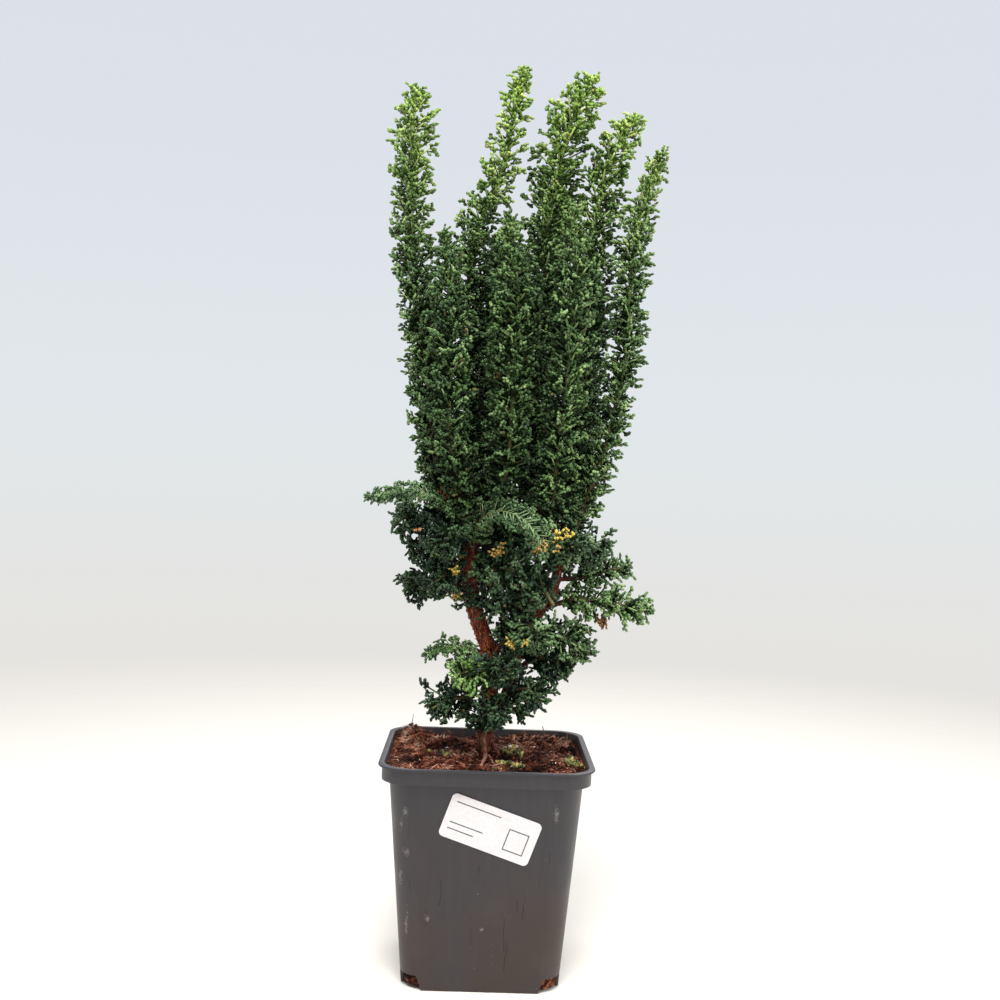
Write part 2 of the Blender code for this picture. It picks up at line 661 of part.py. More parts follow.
def tufted_core(name, axis, others, widest, taper, relief):
    """Core of a leafy stem: rings whose points go out to tufts and in to hollows by turns."""
    tufts, hollow, pitch, foot = relief
    rng = random.Random(name + "_core")
    own = tree_of([axis])
    step = (axis[1] - axis[0]).length
    length = step * (len(axis) - 1)
    count = round(length / pitch)
    stations = [length * n / count for n in range(count + 1)]
    side = direction(axis, 0).orthogonal().normalized()
    rings = []
    for n, at in enumerate(stations):
        i = min(round(at / step), len(axis) - 1)
        along = direction(axis, i)
        side = (side - along * side.dot(along)).normalized()
        last = n == len(stations) - 1
        reach = stem_radius(at, length, widest, taper)
        ring = []
        for k in range(2 * tufts):
            outward = Matrix.Rotation(math.pi * k / tufts, 3, along) @ side
            if n == 0 or last:
                ring.append(axis[i] + outward * (foot if n == 0 else 0.5 * TIP_RADIUS))
                continue
            tuft = (k + n) % 2 == 0
            radius = reach * (TUFT_SHARE if tuft else hollow) * rng.uniform(0.68, 1.25)
            rise = TUFT_RISE if tuft else 0
            ring.append(axis[i] + outward * TIP_RADIUS)
            for shrink in SHRINK:
                point = axis[i] + (outward * radius + along * rise) * shrink
                if clear_of_all([point], own, others, TUFT_CLEAR):
                    ring[-1] = point
                    break
        rings.append(ring)
    bm = bmesh.new()
    loft(bm, rings)
    bmesh.ops.recalc_face_normals(bm, faces=bm.faces)
    bmesh.ops.triangulate(bm, faces=bm.faces)
    return bm


def build_leafy_stem(name, axes, stem, relief, finish):
    """One leafy stem: its tufted core and its fans, grown together."""
    _, _, widest, taper = stem
    others = tree_of(path for other, path in axes.items() if other != name)
    core = tufted_core(name, axes[name], others, widest, taper, relief)
    leafy = add_object(name, core, finish)
    fans = [fan_object(*fan) for fan in fans_of(name, axes[name], others, widest, taper)]
    if fans:
        apply_boolean(leafy, "UNION", fans, "MANIFOLD")
    keep_main_shell(leafy)
    return leafy


clear_scene()
build_pot()
build_soil()
build_label()
WOOD = wood_members()
build_trunk()
AXES = build_axes()
UPPER_GREEN = material("fresh_green_foliage", (74, 112, 52), 0.6)
LOWER_GREEN = material("deep_green_foliage", (48, 76, 52), 0.6)
for stem_name, stem in LEADERS.items():
    build_leafy_stem(stem_name, AXES, stem, LEADER_RELIEF, UPPER_GREEN)
for stem_name, stem in SPRAYS.items():
    build_leafy_stem(stem_name, AXES, stem, SPRAY_RELIEF, LOWER_GREEN)
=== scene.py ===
import math
import random

import bmesh
import bpy
import numpy as np
from mathutils import Matrix, Vector, noise
from mathutils.kdtree import KDTree


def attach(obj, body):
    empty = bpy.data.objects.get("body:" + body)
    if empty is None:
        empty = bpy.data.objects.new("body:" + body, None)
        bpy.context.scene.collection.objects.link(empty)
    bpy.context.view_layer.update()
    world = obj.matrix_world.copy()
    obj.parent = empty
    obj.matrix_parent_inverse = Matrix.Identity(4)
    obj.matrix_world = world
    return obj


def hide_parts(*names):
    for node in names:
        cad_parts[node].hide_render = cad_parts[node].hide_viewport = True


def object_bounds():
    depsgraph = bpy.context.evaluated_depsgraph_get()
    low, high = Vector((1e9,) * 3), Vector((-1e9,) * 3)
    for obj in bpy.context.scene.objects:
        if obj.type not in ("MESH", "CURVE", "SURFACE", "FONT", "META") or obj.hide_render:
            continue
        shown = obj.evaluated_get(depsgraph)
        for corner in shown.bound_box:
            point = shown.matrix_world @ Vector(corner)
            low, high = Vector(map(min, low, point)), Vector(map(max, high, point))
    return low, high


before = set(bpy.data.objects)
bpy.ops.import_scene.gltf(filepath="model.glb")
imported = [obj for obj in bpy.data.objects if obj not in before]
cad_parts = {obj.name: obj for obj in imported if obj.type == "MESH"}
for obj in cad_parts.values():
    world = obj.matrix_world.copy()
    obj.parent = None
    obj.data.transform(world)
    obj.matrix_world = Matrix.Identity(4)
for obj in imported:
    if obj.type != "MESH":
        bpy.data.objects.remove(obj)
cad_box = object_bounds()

# Square nursery pot: one injection moulding in dark recycled polypropylene. Its walls taper
# to the foot, a stepped band stiffens the rim, and each lower corner is cut away as a drain
# notch. It is extruded ring by ring. Sizes are in millimetres up to the floor's section,
# and inside materials in metres.
MM = 0.001
POT_BASE_HALF = 41.3
POT_BODY_HALF = 50.3
POT_BAND_HALF = 54.2
POT_LIP_HALF = 56.0
POT_CORNER = 12.0
POT_HEIGHT = 117.4
POT_BAND_BOTTOM = 108.9
POT_LIP_THICKNESS = 1.1
POT_WALL = 1.2
CORNER_STEPS = 14
NOTCH_STRAIGHT = 29.1
NOTCH_HEIGHT = 7.5
NOTCH_SLANT = 4.0
POT_EDGE = 0.3
CRISP_ANGLE = math.radians(40)
# The front wall lies in front of this depth, in metres.
FRONT_WALL = -0.04
# How far the cracks wander sideways on their way up.
CRACK_WANDER = 6
# Stress cracks in the front wall: place across, lower end, upper end and half width.
CRACKS = ((-21.6, 45.4, 59.1, 0.22), (-29.3, 34.5, 43.6, 0.2), (11.9, 21.9, 40.0, 0.26),
          (13.3, 10.7, 28.3, 0.22), (17.4, 43.9, 49.2, 0.2), (20.3, 38.7, 47.2, 0.28),
          (-1.9, 63.4, 67.1, 0.2), (21.2, 48.3, 52.0, 0.18), (33.6, 69.3, 74.6, 0.2),
          (-37.4, 51.8, 57.6, 0.18), (-5.9, 25.6, 33.1, 0.16), (28.5, 55.4, 60.7, 0.16))
# Pale scuffs on the front wall: middle across and up, and half sizes.
SCUFFS = ((-42.8, 86.9, 1.2, 4.5), (-40.7, 93.5, 2.0, 3.7), (-39.8, 73.1, 2.8, 2.7),
          (36.1, 95.1, 1.9, 6.1), (-38.8, 35.0, 1.1, 9.1), (-28.1, 38.5, 1.8, 2.2),
          (0.0, 33.5, 1.5, 1.7), (-42.5, 58.5, 1.2, 5.6))


def linear(code):
    """An sRGB hex colour as linear values with full alpha."""
    parts = [int(code[i:i + 2], 16) / 255 for i in (0, 2, 4)]
    return (*[c / 12.92 if c <= 0.04045 else ((c + 0.055) / 1.055) ** 2.4 for c in parts], 1)


# A colour mix node's inputs: the colour below, the one over it, and how much of that.
UNDER, OVER, SHARE = 6, 7, 0


def feed(node, values):
    """Sets a node's properties, colour stops and inputs.

    An input takes a plain value, a hex colour, or a node or socket that is linked to it.
    """
    for key, value in values.items():
        if key == "stops":
            stops = node.color_ramp.elements
            while len(stops) < len(value):
                stops.new(1)
            for stop, (place, code) in zip(stops, value):
                stop.position = place
                stop.color = linear(code)
        elif isinstance(key, str) and key not in node.inputs:
            setattr(node, key, value)
        elif isinstance(value, bpy.types.Node):
            shown = next(output for output in value.outputs if output.enabled)
            node.id_data.links.new(shown, node.inputs[key])
        elif isinstance(value, bpy.types.NodeSocket):
            node.id_data.links.new(value, node.inputs[key])
        else:
            node.inputs[key].default_value = linear(value) if isinstance(value, str) else value


def add_node(tree, kind, values):
    """Adds a shader node and sets its values."""
    added = tree.nodes.new("ShaderNode" + kind)
    feed(added, values)
    return added


def new_finish(name, values):
    """A Principled material with these values. Gives it, its nodes and its shader."""
    finish = bpy.data.materials.new(name)
    finish.use_nodes = True
    shader = finish.node_tree.nodes["Principled BSDF"]
    feed(shader, values)
    return finish, finish.node_tree, shader


def mottled(name, values, scale, detail, stops):
    """A material whose colour follows one fine noise. Gives it, the noise and its shader."""
    finish, tree, shader = new_finish(name, values)
    spot = add_node(tree, "TexCoord", {}).outputs["Object"]
    mottle = add_node(tree, "TexNoise", {"Scale": scale, "Detail": detail, "Vector": spot})
    feed(shader, {"Base Color": add_node(tree, "ValToRGB", {"Fac": mottle, "stops": stops})})
    return finish, mottle, shader


def place_piece(name, bm, finishes, smooth=None):
    """Turns a bmesh in millimetres into a piece in metres that rides on the root body."""
    bmesh.ops.scale(bm, vec=(MM, MM, MM), verts=bm.verts)
    mesh = bpy.data.meshes.new(name)
    bm.to_mesh(mesh)
    bm.free()
    for finish in finishes:
        mesh.materials.append(finish)
    piece = bpy.data.objects.new(name, mesh)
    bpy.context.scene.collection.objects.link(piece)
    mesh.shade_smooth()
    if smooth:
        mesh.set_sharp_from_angle(angle=math.radians(smooth))
    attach(piece, "root")
    return piece


def carry_on(bm, face, change):
    """Extrudes one face, moves the new ring by a matrix and returns the new end face."""
    grown = bmesh.ops.extrude_face_region(bm, geom=[face, *face.edges, *face.verts])["geom"]
    ring = [item for item in grown if isinstance(item, bmesh.types.BMVert)]
    bmesh.ops.transform(bm, matrix=change, verts=ring)
    return next(item for item in grown if isinstance(item, bmesh.types.BMFace))


def resize(start, end, rise):
    """Matrix that scales a ring about the Z axis from one half width to another and lifts it."""
    share = end / start
    return Matrix.Translation((0, 0, rise)) @ Matrix.Diagonal((share, share, 1, 1))


def pot_shell():
    """Body, band, lip and inside of the pot, each extruded from the face before."""
    lip_bottom = POT_HEIGHT - POT_LIP_THICKNESS
    inner_step = POT_BAND_BOTTOM + POT_WALL
    bm = bmesh.new()
    bmesh.ops.create_grid(bm, x_segments=1, y_segments=1, size=POT_BASE_HALF)
    bmesh.ops.bevel(bm, geom=bm.verts[:], affect="VERTICES", offset=POT_CORNER,
                    segments=CORNER_STEPS, profile=0.5, material=-1)
    face = bm.faces[:][0]
    floor_half = POT_BASE_HALF - POT_WALL
    steps = ((POT_BASE_HALF, POT_BODY_HALF, POT_BAND_BOTTOM),
             (POT_BODY_HALF, POT_BAND_HALF, 0),
             (POT_BAND_HALF, POT_BAND_HALF, lip_bottom - POT_BAND_BOTTOM),
             (POT_BAND_HALF, POT_LIP_HALF, 0),
             (POT_LIP_HALF, POT_LIP_HALF, POT_LIP_THICKNESS),
             (POT_LIP_HALF, POT_BAND_HALF - POT_WALL, 0),
             (POT_BAND_HALF - POT_WALL, POT_BAND_HALF - POT_WALL, inner_step - POT_HEIGHT),
             (POT_BAND_HALF - POT_WALL, POT_BODY_HALF - POT_WALL, 0),
             (POT_BODY_HALF - POT_WALL, floor_half, POT_WALL - inner_step))
    for start, end, rise in steps:
        face = carry_on(bm, face, resize(start, end, rise))
    bmesh.ops.recalc_face_normals(bm, faces=bm.faces)
    crisp = [edge for edge in bm.edges
             if edge.is_manifold and edge.calc_face_angle() > CRISP_ANGLE]
    bmesh.ops.bevel(bm, geom=crisp, affect="EDGES", offset=POT_EDGE, segments=2, profile=0.5,
                    material=-1)
    for face in bm.faces:
        middle = face.calc_center_median()
        inward = face.normal.x * middle.x + face.normal.y * middle.y < 0
        face.material_index = 1 if inward and middle.z > 2 * POT_WALL else 0
    return bm


def drain_notch(index):
    """A slanted block that cuts the notch out of one lower corner."""
    bm = bmesh.new()
    bmesh.ops.create_cube(bm, size=1)
    for vert in bm.verts:
        inner = NOTCH_STRAIGHT + (NOTCH_SLANT if vert.co.z > 0 else 0)
        vert.co = (inner if vert.co.x < 0 else POT_BODY_HALF,
                   inner if vert.co.y < 0 else POT_BODY_HALF,
                   NOTCH_HEIGHT if vert.co.z > 0 else -2 * POT_WALL)
    bmesh.ops.scale(bm, vec=(MM, MM, MM), verts=bm.verts)
    bmesh.ops.rotate(bm, verts=bm.verts, cent=(0, 0, 0),
                     matrix=Matrix.Rotation(math.pi / 2 * index, 3, "Z"))
    mesh = bpy.data.meshes.new("drain_notch")
    bm.to_mesh(mesh)
    bm.free()
    return bpy.data.objects.new("drain_notch", mesh)


def cut_away(piece, cutters):
    """Cuts the blocks out of a piece and removes them."""
    group = bpy.data.collections.new("cutters")
    bpy.context.scene.collection.children.link(group)
    for cutter in cutters:
        group.objects.link(cutter)
    cut = piece.modifiers.new("Notches", "BOOLEAN")
    cut.operation = "DIFFERENCE"
    cut.operand_type = "COLLECTION"
    cut.collection = group
    graph = bpy.context.evaluated_depsgraph_get()
    mesh = bpy.data.meshes.new_from_object(piece.evaluated_get(graph))
    piece.modifiers.remove(cut)
    piece.data = mesh
    for cutter in cutters:
        bpy.data.objects.remove(cutter)
    bpy.data.collections.remove(group)


def moulded_polypropylene(name, dirty):
    """Injection-moulded recycled polypropylene: dark warm grey, satin, with flow streaks.

    The outer face has hairline cracks and pale scuffs from handling. A dirty face carries
    peat dust in runs down from its top instead.
    """
    finish, tree, shader = new_finish(name, {
        "Roughness": 0.42, "IOR": 1.49, "Specular IOR Level": 0.4})
    spot = add_node(tree, "TexCoord", {}).outputs["Object"]
    parts = add_node(tree, "SeparateXYZ", {0: spot})
    # Flow streaks are about 3 mm wide and run most of the wall's height.
    stretched = add_node(tree, "Mapping", {"Scale": (1, 1, 0.05), "Vector": spot})
    flow = add_node(tree, "TexNoise", {"Scale": 330, "Detail": 3, "Vector": stretched})
    colour = add_node(tree, "ValToRGB", {
        "Fac": flow, "stops": ((0.3, "27272d"), (0.5, "29292e"), (0.72, "2d2d32"))})
    # The recycled mix is browner in drifts some 40 mm across, mostly low on the wall.
    drift = add_node(tree, "TexNoise", {"Scale": 22, "Detail": 2, "Vector": spot})
    cloudy = add_node(tree, "MapRange", {
        "From Min": 0.35, "From Max": 0.6, "To Min": 0.35, "Value": drift})
    low = add_node(tree, "MapRange", {
        "From Min": 0.02, "From Max": 0.1, "To Min": 0.95, "To Max": 0.15,
        "Value": parts.outputs["Z"]})
    brown = add_node(tree, "Math", {"operation": "MULTIPLY", 0: cloudy, 1: low})
    colour = add_node(tree, "Mix", {
        "data_type": "RGBA", UNDER: colour, OVER: "322520", SHARE: brown})
    # Next come a dusty haze and fine flecks, 0.5 mm wide, and on a dirty face its runs.
    cloud = add_node(tree, "TexNoise", {"Scale": 35, "Detail": 4, "Vector": spot})
    fleck = add_node(tree, "TexNoise", {"Scale": 1000, "Detail": 1, "Vector": spot})
    layers = [(cloud, 0.55, 0.8, 0.3, "43403f"), (fleck, 0.79, 0.83, 0.6, "8f8b8a")]
    if dirty:
        runs = add_node(tree, "TexNoise", {"Scale": 220, "Detail": 5, "Vector": stretched})
        layers.append((runs, 0.42, 0.62, 0.85, "4a362c"))
    for pattern, start, full, most, code in layers:
        share = add_node(tree, "MapRange", {
            "From Min": start, "From Max": full, "To Max": most, "Value": pattern})
        colour = add_node(tree, "Mix", {
            "data_type": "RGBA", UNDER: colour, OVER: code, SHARE: share})
    if not dirty:
        front = add_node(tree, "Math", {
            "operation": "LESS_THAN", 0: parts.outputs["Y"], 1: FRONT_WALL})
        wander = add_node(tree, "TexNoise", {"Scale": 60, "Detail": 2, "Vector": spot})
        place = add_node(tree, "Math", {"operation": "MULTIPLY_ADD", 0: wander,
                                        1: CRACK_WANDER * MM, 2: parts.outputs["X"]})
        marks = []
        for across, bottom, top, half in CRACKS:
            near = add_node(tree, "Math", {
                "operation": "COMPARE", 0: place, 1: (across + CRACK_WANDER / 2) * MM,
                2: half * MM})
            height = add_node(tree, "Math", {
                "operation": "COMPARE", 0: parts.outputs["Z"], 1: (bottom + top) / 2 * MM,
                2: (top - bottom) / 2 * MM})
            marks.append((add_node(tree, "Math", {
                "operation": "MULTIPLY", 0: near, 1: height}), "131112"))
        scratchy = add_node(tree, "TexNoise", {
            "Scale": 700, "Detail": 3, "Distortion": 1.5, "Vector": spot})
        for across, up, half_width, half_height in SCUFFS:
            nearby = add_node(tree, "Mapping", {
                "Location": (-across / half_width, 0, -up / half_height),
                "Scale": (1 / (half_width * MM), 0, 1 / (half_height * MM)), "Vector": spot})
            reach = add_node(tree, "VectorMath", {"operation": "LENGTH", 0: nearby})
            patchy = add_node(tree, "Math", {
                "operation": "MULTIPLY_ADD", 0: reach, 1: -0.3, 2: scratchy})
            marks.append((add_node(tree, "MapRange", {
                "From Min": 0.3, "From Max": 0.5, "To Max": 0.5, "Value": patchy}), "8c8684"))
        for mark, code in marks:
            share = add_node(tree, "Math", {"operation": "MULTIPLY", 0: mark, 1: front})
            colour = add_node(tree, "Mix", {
                "data_type": "RGBA", UNDER: colour, OVER: code, SHARE: share})
    grain = add_node(tree, "TexNoise", {"Scale": 1600, "Detail": 2, "Vector": spot})
    relief = add_node(tree, "Math", {"operation": "MULTIPLY_ADD", 0: grain, 1: 0.4, 2: flow})
    bump = add_node(tree, "Bump", {"Strength": 0.25, "Distance": 0.0002, "Height": relief})
    gloss = add_node(tree, "MapRange", {
        "From Min": 0.3, "From Max": 0.7, "To Min": 0.36, "To Max": 0.52, "Value": cloud})
    feed(shader, {"Base Color": colour, "Roughness": gloss, "Normal": bump})
    return finish


pot = place_piece("square_pot", pot_shell(), [
    moulded_polypropylene("moulded_polypropylene", False),
    moulded_polypropylene("soiled_polypropylene", True)], smooth=35)
cut_away(pot, [drain_notch(index) for index in range(4)])
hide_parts("pot")

# Sticker: a blank white paper label with rounded corners, pressed on the front wall a
# little askew. It carries only plain grey rules and an empty box.
LABEL_WIDTH = 48.5
LABEL_HEIGHT = 23.6
LABEL_CORNER = 2.5
LABEL_THICKNESS = 0.3
LABEL_TURN = math.radians(19.2)
LABEL_X = 2.7
LABEL_Z = 86.5
LABEL_LIFT = 0.25
# Rules as left end, height and length from the sticker's middle, and the box's corners.
RULES = ((-21.0, 7.6, 24.0), (-21.0, -3.4, 18.0), (-21.0, -6.8, 14.0))
BOX = (9.0, -7.5, 20.0, 3.5)
INK_WIDTH = 0.55
INK_RISE = 0.05


def label_place():
    """Matrix from the sticker's own plane to its place on the tapered front wall."""
    slope = math.atan2(POT_BODY_HALF - POT_BASE_HALF, POT_BAND_BOTTOM)
    half = POT_BASE_HALF + (POT_BODY_HALF - POT_BASE_HALF) * LABEL_Z / POT_BAND_BOTTOM
    return (Matrix.Translation((LABEL_X, -half - LABEL_LIFT, LABEL_Z))
            @ Matrix.Rotation(slope, 4, "X") @ Matrix.Rotation(LABEL_TURN, 4, "Y"))


def ink_bar(bm, left, low, right, high):
    """A printed bar on the sticker's face, between two corners."""
    made = bmesh.ops.create_cube(bm, size=1)["verts"]
    bmesh.ops.transform(bm, verts=made, matrix=Matrix.Translation(
        ((left + right) / 2, -LABEL_THICKNESS - INK_RISE / 2, (low + high) / 2))
        @ Matrix.Diagonal((right - left, INK_RISE, high - low, 1)))
    for face in {face for vert in made for face in vert.link_faces}:
        face.material_index = 1


def sticker():
    """A slab of paper with rounded corners, and the bars that are printed on it."""
    bm = bmesh.new()
    bmesh.ops.create_cube(bm, size=1)
    bmesh.ops.transform(bm, verts=bm.verts, matrix=Matrix.Translation(
        (0, -LABEL_THICKNESS / 2, 0)) @ Matrix.Diagonal(
        (LABEL_WIDTH, LABEL_THICKNESS, LABEL_HEIGHT, 1)))
    corners = [edge for edge in bm.edges
               if abs((edge.verts[0].co - edge.verts[1].co).normalized().y) > 0.5]
    bmesh.ops.bevel(bm, geom=corners, affect="EDGES", offset=LABEL_CORNER, segments=8,
                    profile=0.5, material=-1)
    for left, height, length in RULES:
        ink_bar(bm, left, height, left + length, height + INK_WIDTH)
    left, low, right, high = BOX
    ink_bar(bm, left, low, right, low + INK_WIDTH)
    ink_bar(bm, left, high, right, high + INK_WIDTH)
    ink_bar(bm, left, low + INK_WIDTH, left + INK_WIDTH, high)
    ink_bar(bm, right - INK_WIDTH, low + INK_WIDTH, right, high)
    bmesh.ops.transform(bm, matrix=label_place(), verts=bm.verts)
    return bm


# Coated label paper: near white and satin, with the faint tooth of its pulp.
coated_paper, pulp, shader = mottled(
    "coated_label_paper", {"Roughness": 0.48, "IOR": 1.5}, 700, 4,
    ((0.3, "c0bbbb"), (0.7, "ccc6c6")))
feed(shader, {"Normal": add_node(shader.id_data, "Bump", {
    "Strength": 0.2, "Distance": 0.0001, "Height": pulp})})
# Thermal print: dark grey, slightly uneven along each bar.
grey_print, _, _ = mottled("grey_print", {"Roughness": 0.6}, 1800, 1,
                           ((0.35, "2b2a2c"), (0.8, "6d6b6d")))
label = place_piece("sticker", sticker(), [coated_paper, grey_print], smooth=30)
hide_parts("label")

# Peat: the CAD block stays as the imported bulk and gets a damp, fibrous finish. Crumbs,
# fibres, white perlite and moss lie on it, each set of them scattered as one piece, and a
# low collar is heaped against the trunk.
SOIL_TOP = 112.6
SOIL_HILLS = 1.9
SOIL_HALF = 51.6
SOIL_CORNER = 9
COLLAR_RISE = 3.6
COLLAR_REACH = 15.0
COLLAR_NECK = 2.5
TRUNK_CLEAR = 4.2
CRUMB_COUNT = 4000
CRUMB_SIZES = (0.4, 0.5, 0.6, 0.7, 0.9, 1.1, 1.5)
FIBRE_COUNT = 3800
FIBRE_THICKNESSES = (0.03, 0.04, 0.06)
GRIT_COUNT = 150
MOSS_DENSITY = 11
# How many different crumbs, fibres or flakes are built before they are scattered.
KINDS = 20
BLADE_KINDS = 8
# Clods, most of them heaped in the back left corner: place, size and rise.
CLOD_PLACES = (
    (-46.5, 39.0, 1.5, 3.2), (-44.0, 41.0, 1.7, 4.2), (-41.0, 40.0, 1.4, 3.6),
    (-44.5, 36.0, 1.6, 2.4), (-38.0, 41.0, 1.5, 1.6), (-42.5, 38.0, 1.3, 2.6),
    (30.0, 42.0, 2.2, 0.6), (34.5, 40.0, 1.8, 1.0), (39.0, 43.0, 1.9, 0.5),
    (20.0, 38.0, 1.8, 0.2), (-20.0, 40.0, 2.0, 0.2), (44.0, 30.0, 1.7, 0.2))
# Cushions of moss: place and radius.
MOSS_PLACES = ((11.2, 0.2, 5.5), (7.7, -17.1, 4.0), (13.5, -21.0, 4.5), (17.0, -27.5, 3.0),
               (43.4, -19.3, 3.6), (49.7, -20.8, 3.0), (5.4, -29.0, 2.6))
# Weeds: place and number of leaves. Seedlings: place and length of their leaves.
LEAF_PLACES = ((13.7, 10.6, 9), (16.3, 6.0, 5), (9.7, -23.9, 8), (18.6, -27.2, 6),
               (45.0, -12.0, 8), (48.2, -18.6, 9), (15.4, -27.7, 6))
SEEDLINGS = ((-22.6, -4.5, 5.5), (-30.7, 1.8, 4.0), (18.6, -8.5, 5.0))
# The larger grains of perlite: place and radius.
PERLITE = ((12.6, 22.0, 3.0), (17.4, 25.0, 1.9), (9.2, 20.0, 1.4), (-22.0, 18.0, 1.1),
           (31.0, -8.0, 1.0), (38.0, 6.0, 0.9), (-36.0, -14.0, 0.8), (27.0, 22.0, 1.0),
           (-8.0, -28.0, 0.8), (4.0, 24.0, 0.9), (-44.0, 4.0, 0.7))


def soil_height(x, y):
    """Height of the uneven peat surface, as in the solids."""
    waves = (math.sin(x / 9.0 + 0.6) * math.cos(y / 7.5 - 0.4)
             + 0.7 * math.sin((x + 2 * y) / 6.1 + 1.1)
             + 0.5 * math.cos((x - y) / 4.3))
    back_left = math.exp(-((x + 40) ** 2 + (y - 36) ** 2) / 160)
    back_right = math.exp(-((x - 30) ** 2 + (y - 38) ** 2) / 200)
    return SOIL_TOP + SOIL_HILLS * (0.55 * waves + 1.5 * back_left + 0.9 * back_right)


def heaped_height(x, y):
    """Height of the peat with what is heaped against the trunk."""
    slope = max(0, 1 - math.hypot(x, y) / COLLAR_REACH)
    return soil_height(x, y) + COLLAR_RISE * slope ** 1.5


def recalculated(bm):
    """The same bmesh with its faces turned outwards."""
    bmesh.ops.recalc_face_normals(bm, faces=bm.faces)
    return bm


def peat_collar():
    """Peat heaped over the solid's plain hole for the trunk: a low cone with a buried rim."""
    bm = bmesh.new()
    bmesh.ops.create_cone(bm, cap_ends=True, segments=36, radius1=COLLAR_REACH,
                          radius2=COLLAR_NECK, depth=1)
    sides = [edge for edge in bm.edges if abs(edge.verts[0].co.z - edge.verts[1].co.z) > 0.5]
    bmesh.ops.subdivide_edges(bm, edges=sides, cuts=8)
    for vert in bm.verts:
        rim = vert.co.xy.length > COLLAR_REACH - 0.1
        lump = 0.5 * noise.noise(vert.co * 0.5)
        vert.co.z = heaped_height(vert.co.x, vert.co.y) + (-COLLAR_RISE if rim else lump)
    return recalculated(bm)


def damp_peat(name, dark, mid, light, scale):
    """Damp peat: crumbly and matt, near black in its pores and red-brown on its fibres."""
    finish, tree, shader = new_finish(name, {"Roughness": 0.95, "Specular IOR Level": 0.12})
    spot = add_node(tree, "TexCoord", {}).outputs["Object"]
    clod = add_node(tree, "TexNoise", {
        "Scale": scale, "Detail": 6, "Roughness": 0.7, "Vector": spot})
    # The surface is wetter and darker in patches some 15 mm across.
    wet = add_node(tree, "TexNoise", {"Scale": 65, "Detail": 2, "Vector": spot})
    level = add_node(tree, "Math", {"operation": "MULTIPLY_ADD", 0: wet, 1: 0.5, 2: clod})
    # It is darker towards the front wall.
    parts = add_node(tree, "SeparateXYZ", {0: spot})
    darker_in_front = add_node(tree, "MapRange", {
        "From Min": -0.05, "From Max": 0.03, "To Min": -0.055, "To Max": 0.03,
        "Value": parts.outputs["Y"]})
    level = add_node(tree, "Math", {"operation": "ADD", 0: level, 1: darker_in_front})
    shade = add_node(tree, "ValToRGB", {
        "Fac": level, "stops": ((0.65, dark), (0.77, mid), (0.89, light))})
    bump = add_node(tree, "Bump", {"Strength": 0.9, "Distance": 0.0012, "Height": clod})
    feed(shader, {"Base Color": shade, "Normal": bump})
    return finish


def on_soil(rng, margin):
    """A random place on the peat, clear of the trunk."""
    while True:
        x = rng.uniform(-SOIL_HALF + margin, SOIL_HALF - margin)
        y = rng.uniform(-SOIL_HALF + margin, SOIL_HALF - margin)
        in_corner = abs(x) + abs(y) > 2 * SOIL_HALF - SOIL_CORNER
        if math.hypot(x, y) > TRUNK_CLEAR and not in_corner:
            return x, y


def sweep(bm, places, sides):
    """A closed tube: a ring carried from place to place, each a matrix that holds its size."""
    made = bmesh.ops.create_circle(bm, cap_ends=True, segments=sides, radius=1,
                                   matrix=places[0])["verts"]
    face = made[0].link_faces[0]
    for last, here in zip(places, places[1:]):
        face = carry_on(bm, face, here @ last.inverted())
    return face


def placed(origin, x, y, z):
    """Matrix that carries the axes to three vectors and the origin to a point."""
    place = Matrix((x, y, z)).transposed().to_4x4()
    place.translation = origin
    return place


def direction(path, i):
    """Unit tangent of a path at its point i."""
    return (path[min(i + 1, len(path) - 1)] - path[max(i - 1, 0)]).normalized()


def places_along(path, radii):
    """Matrices along a path, each with Z on the path and the radius as its width."""
    side = (path[1] - path[0]).orthogonal().normalized()
    places = []
    for i, (middle, radius) in enumerate(zip(path, radii)):
        along = direction(path, i)
        side = (side - along * side.dot(along)).normalized()
        places.append(placed(middle, side * radius, along.cross(side) * radius, along))
    return places


def shape_of(bm):
    """Keeps a small bmesh as a shape to stamp, with its faces turned outwards."""
    mesh = bpy.data.meshes.new("shape")
    recalculated(bm).to_mesh(mesh)
    bm.free()
    return mesh


def scatter(shapes, places, rng):
    """One bmesh with a random shape at each place; the shapes are used up."""
    bm = bmesh.new()
    for place in places:
        copy = rng.choice(shapes).copy()
        copy.transform(place)
        bm.from_mesh(copy)
        bpy.data.meshes.remove(copy)
    for shape in shapes:
        bpy.data.meshes.remove(shape)
    return bm


def tumbled(rng):
    """A random rotation."""
    axis = Vector((rng.gauss(0, 1), rng.gauss(0, 1), rng.gauss(0, 1))).normalized()
    return Matrix.Rotation(rng.uniform(0, 6.3), 4, axis)


def crumb(rng):
    """A loose crumb of peat: a dented ball."""
    bm = bmesh.new()
    bmesh.ops.create_icosphere(bm, subdivisions=1, radius=1)
    shift = Vector((rng.uniform(0, 99), 0, 0))
    for vert in bm.verts:
        vert.co += noise.noise_vector(vert.co * 0.9 + shift) * 0.7
        vert.co.z *= 0.75
    return shape_of(bm)


def fibre(rng):
    """A short broken peat fibre along X, 1 mm long before it is placed."""
    bm = bmesh.new()
    bend = Vector((0, rng.uniform(-0.7, 0.7), rng.uniform(-0.5, 0.1)))
    path = [Vector((t, 0.12 * math.sin(9 * t), 0)) + bend * t * t for t in (0, 0.35, 0.7, 1)]
    thick = rng.choice(FIBRE_THICKNESSES)
    sweep(bm, places_along(path, (thick, thick, 0.8 * thick, 0.3 * thick)), sides=3)
    return shape_of(bm)


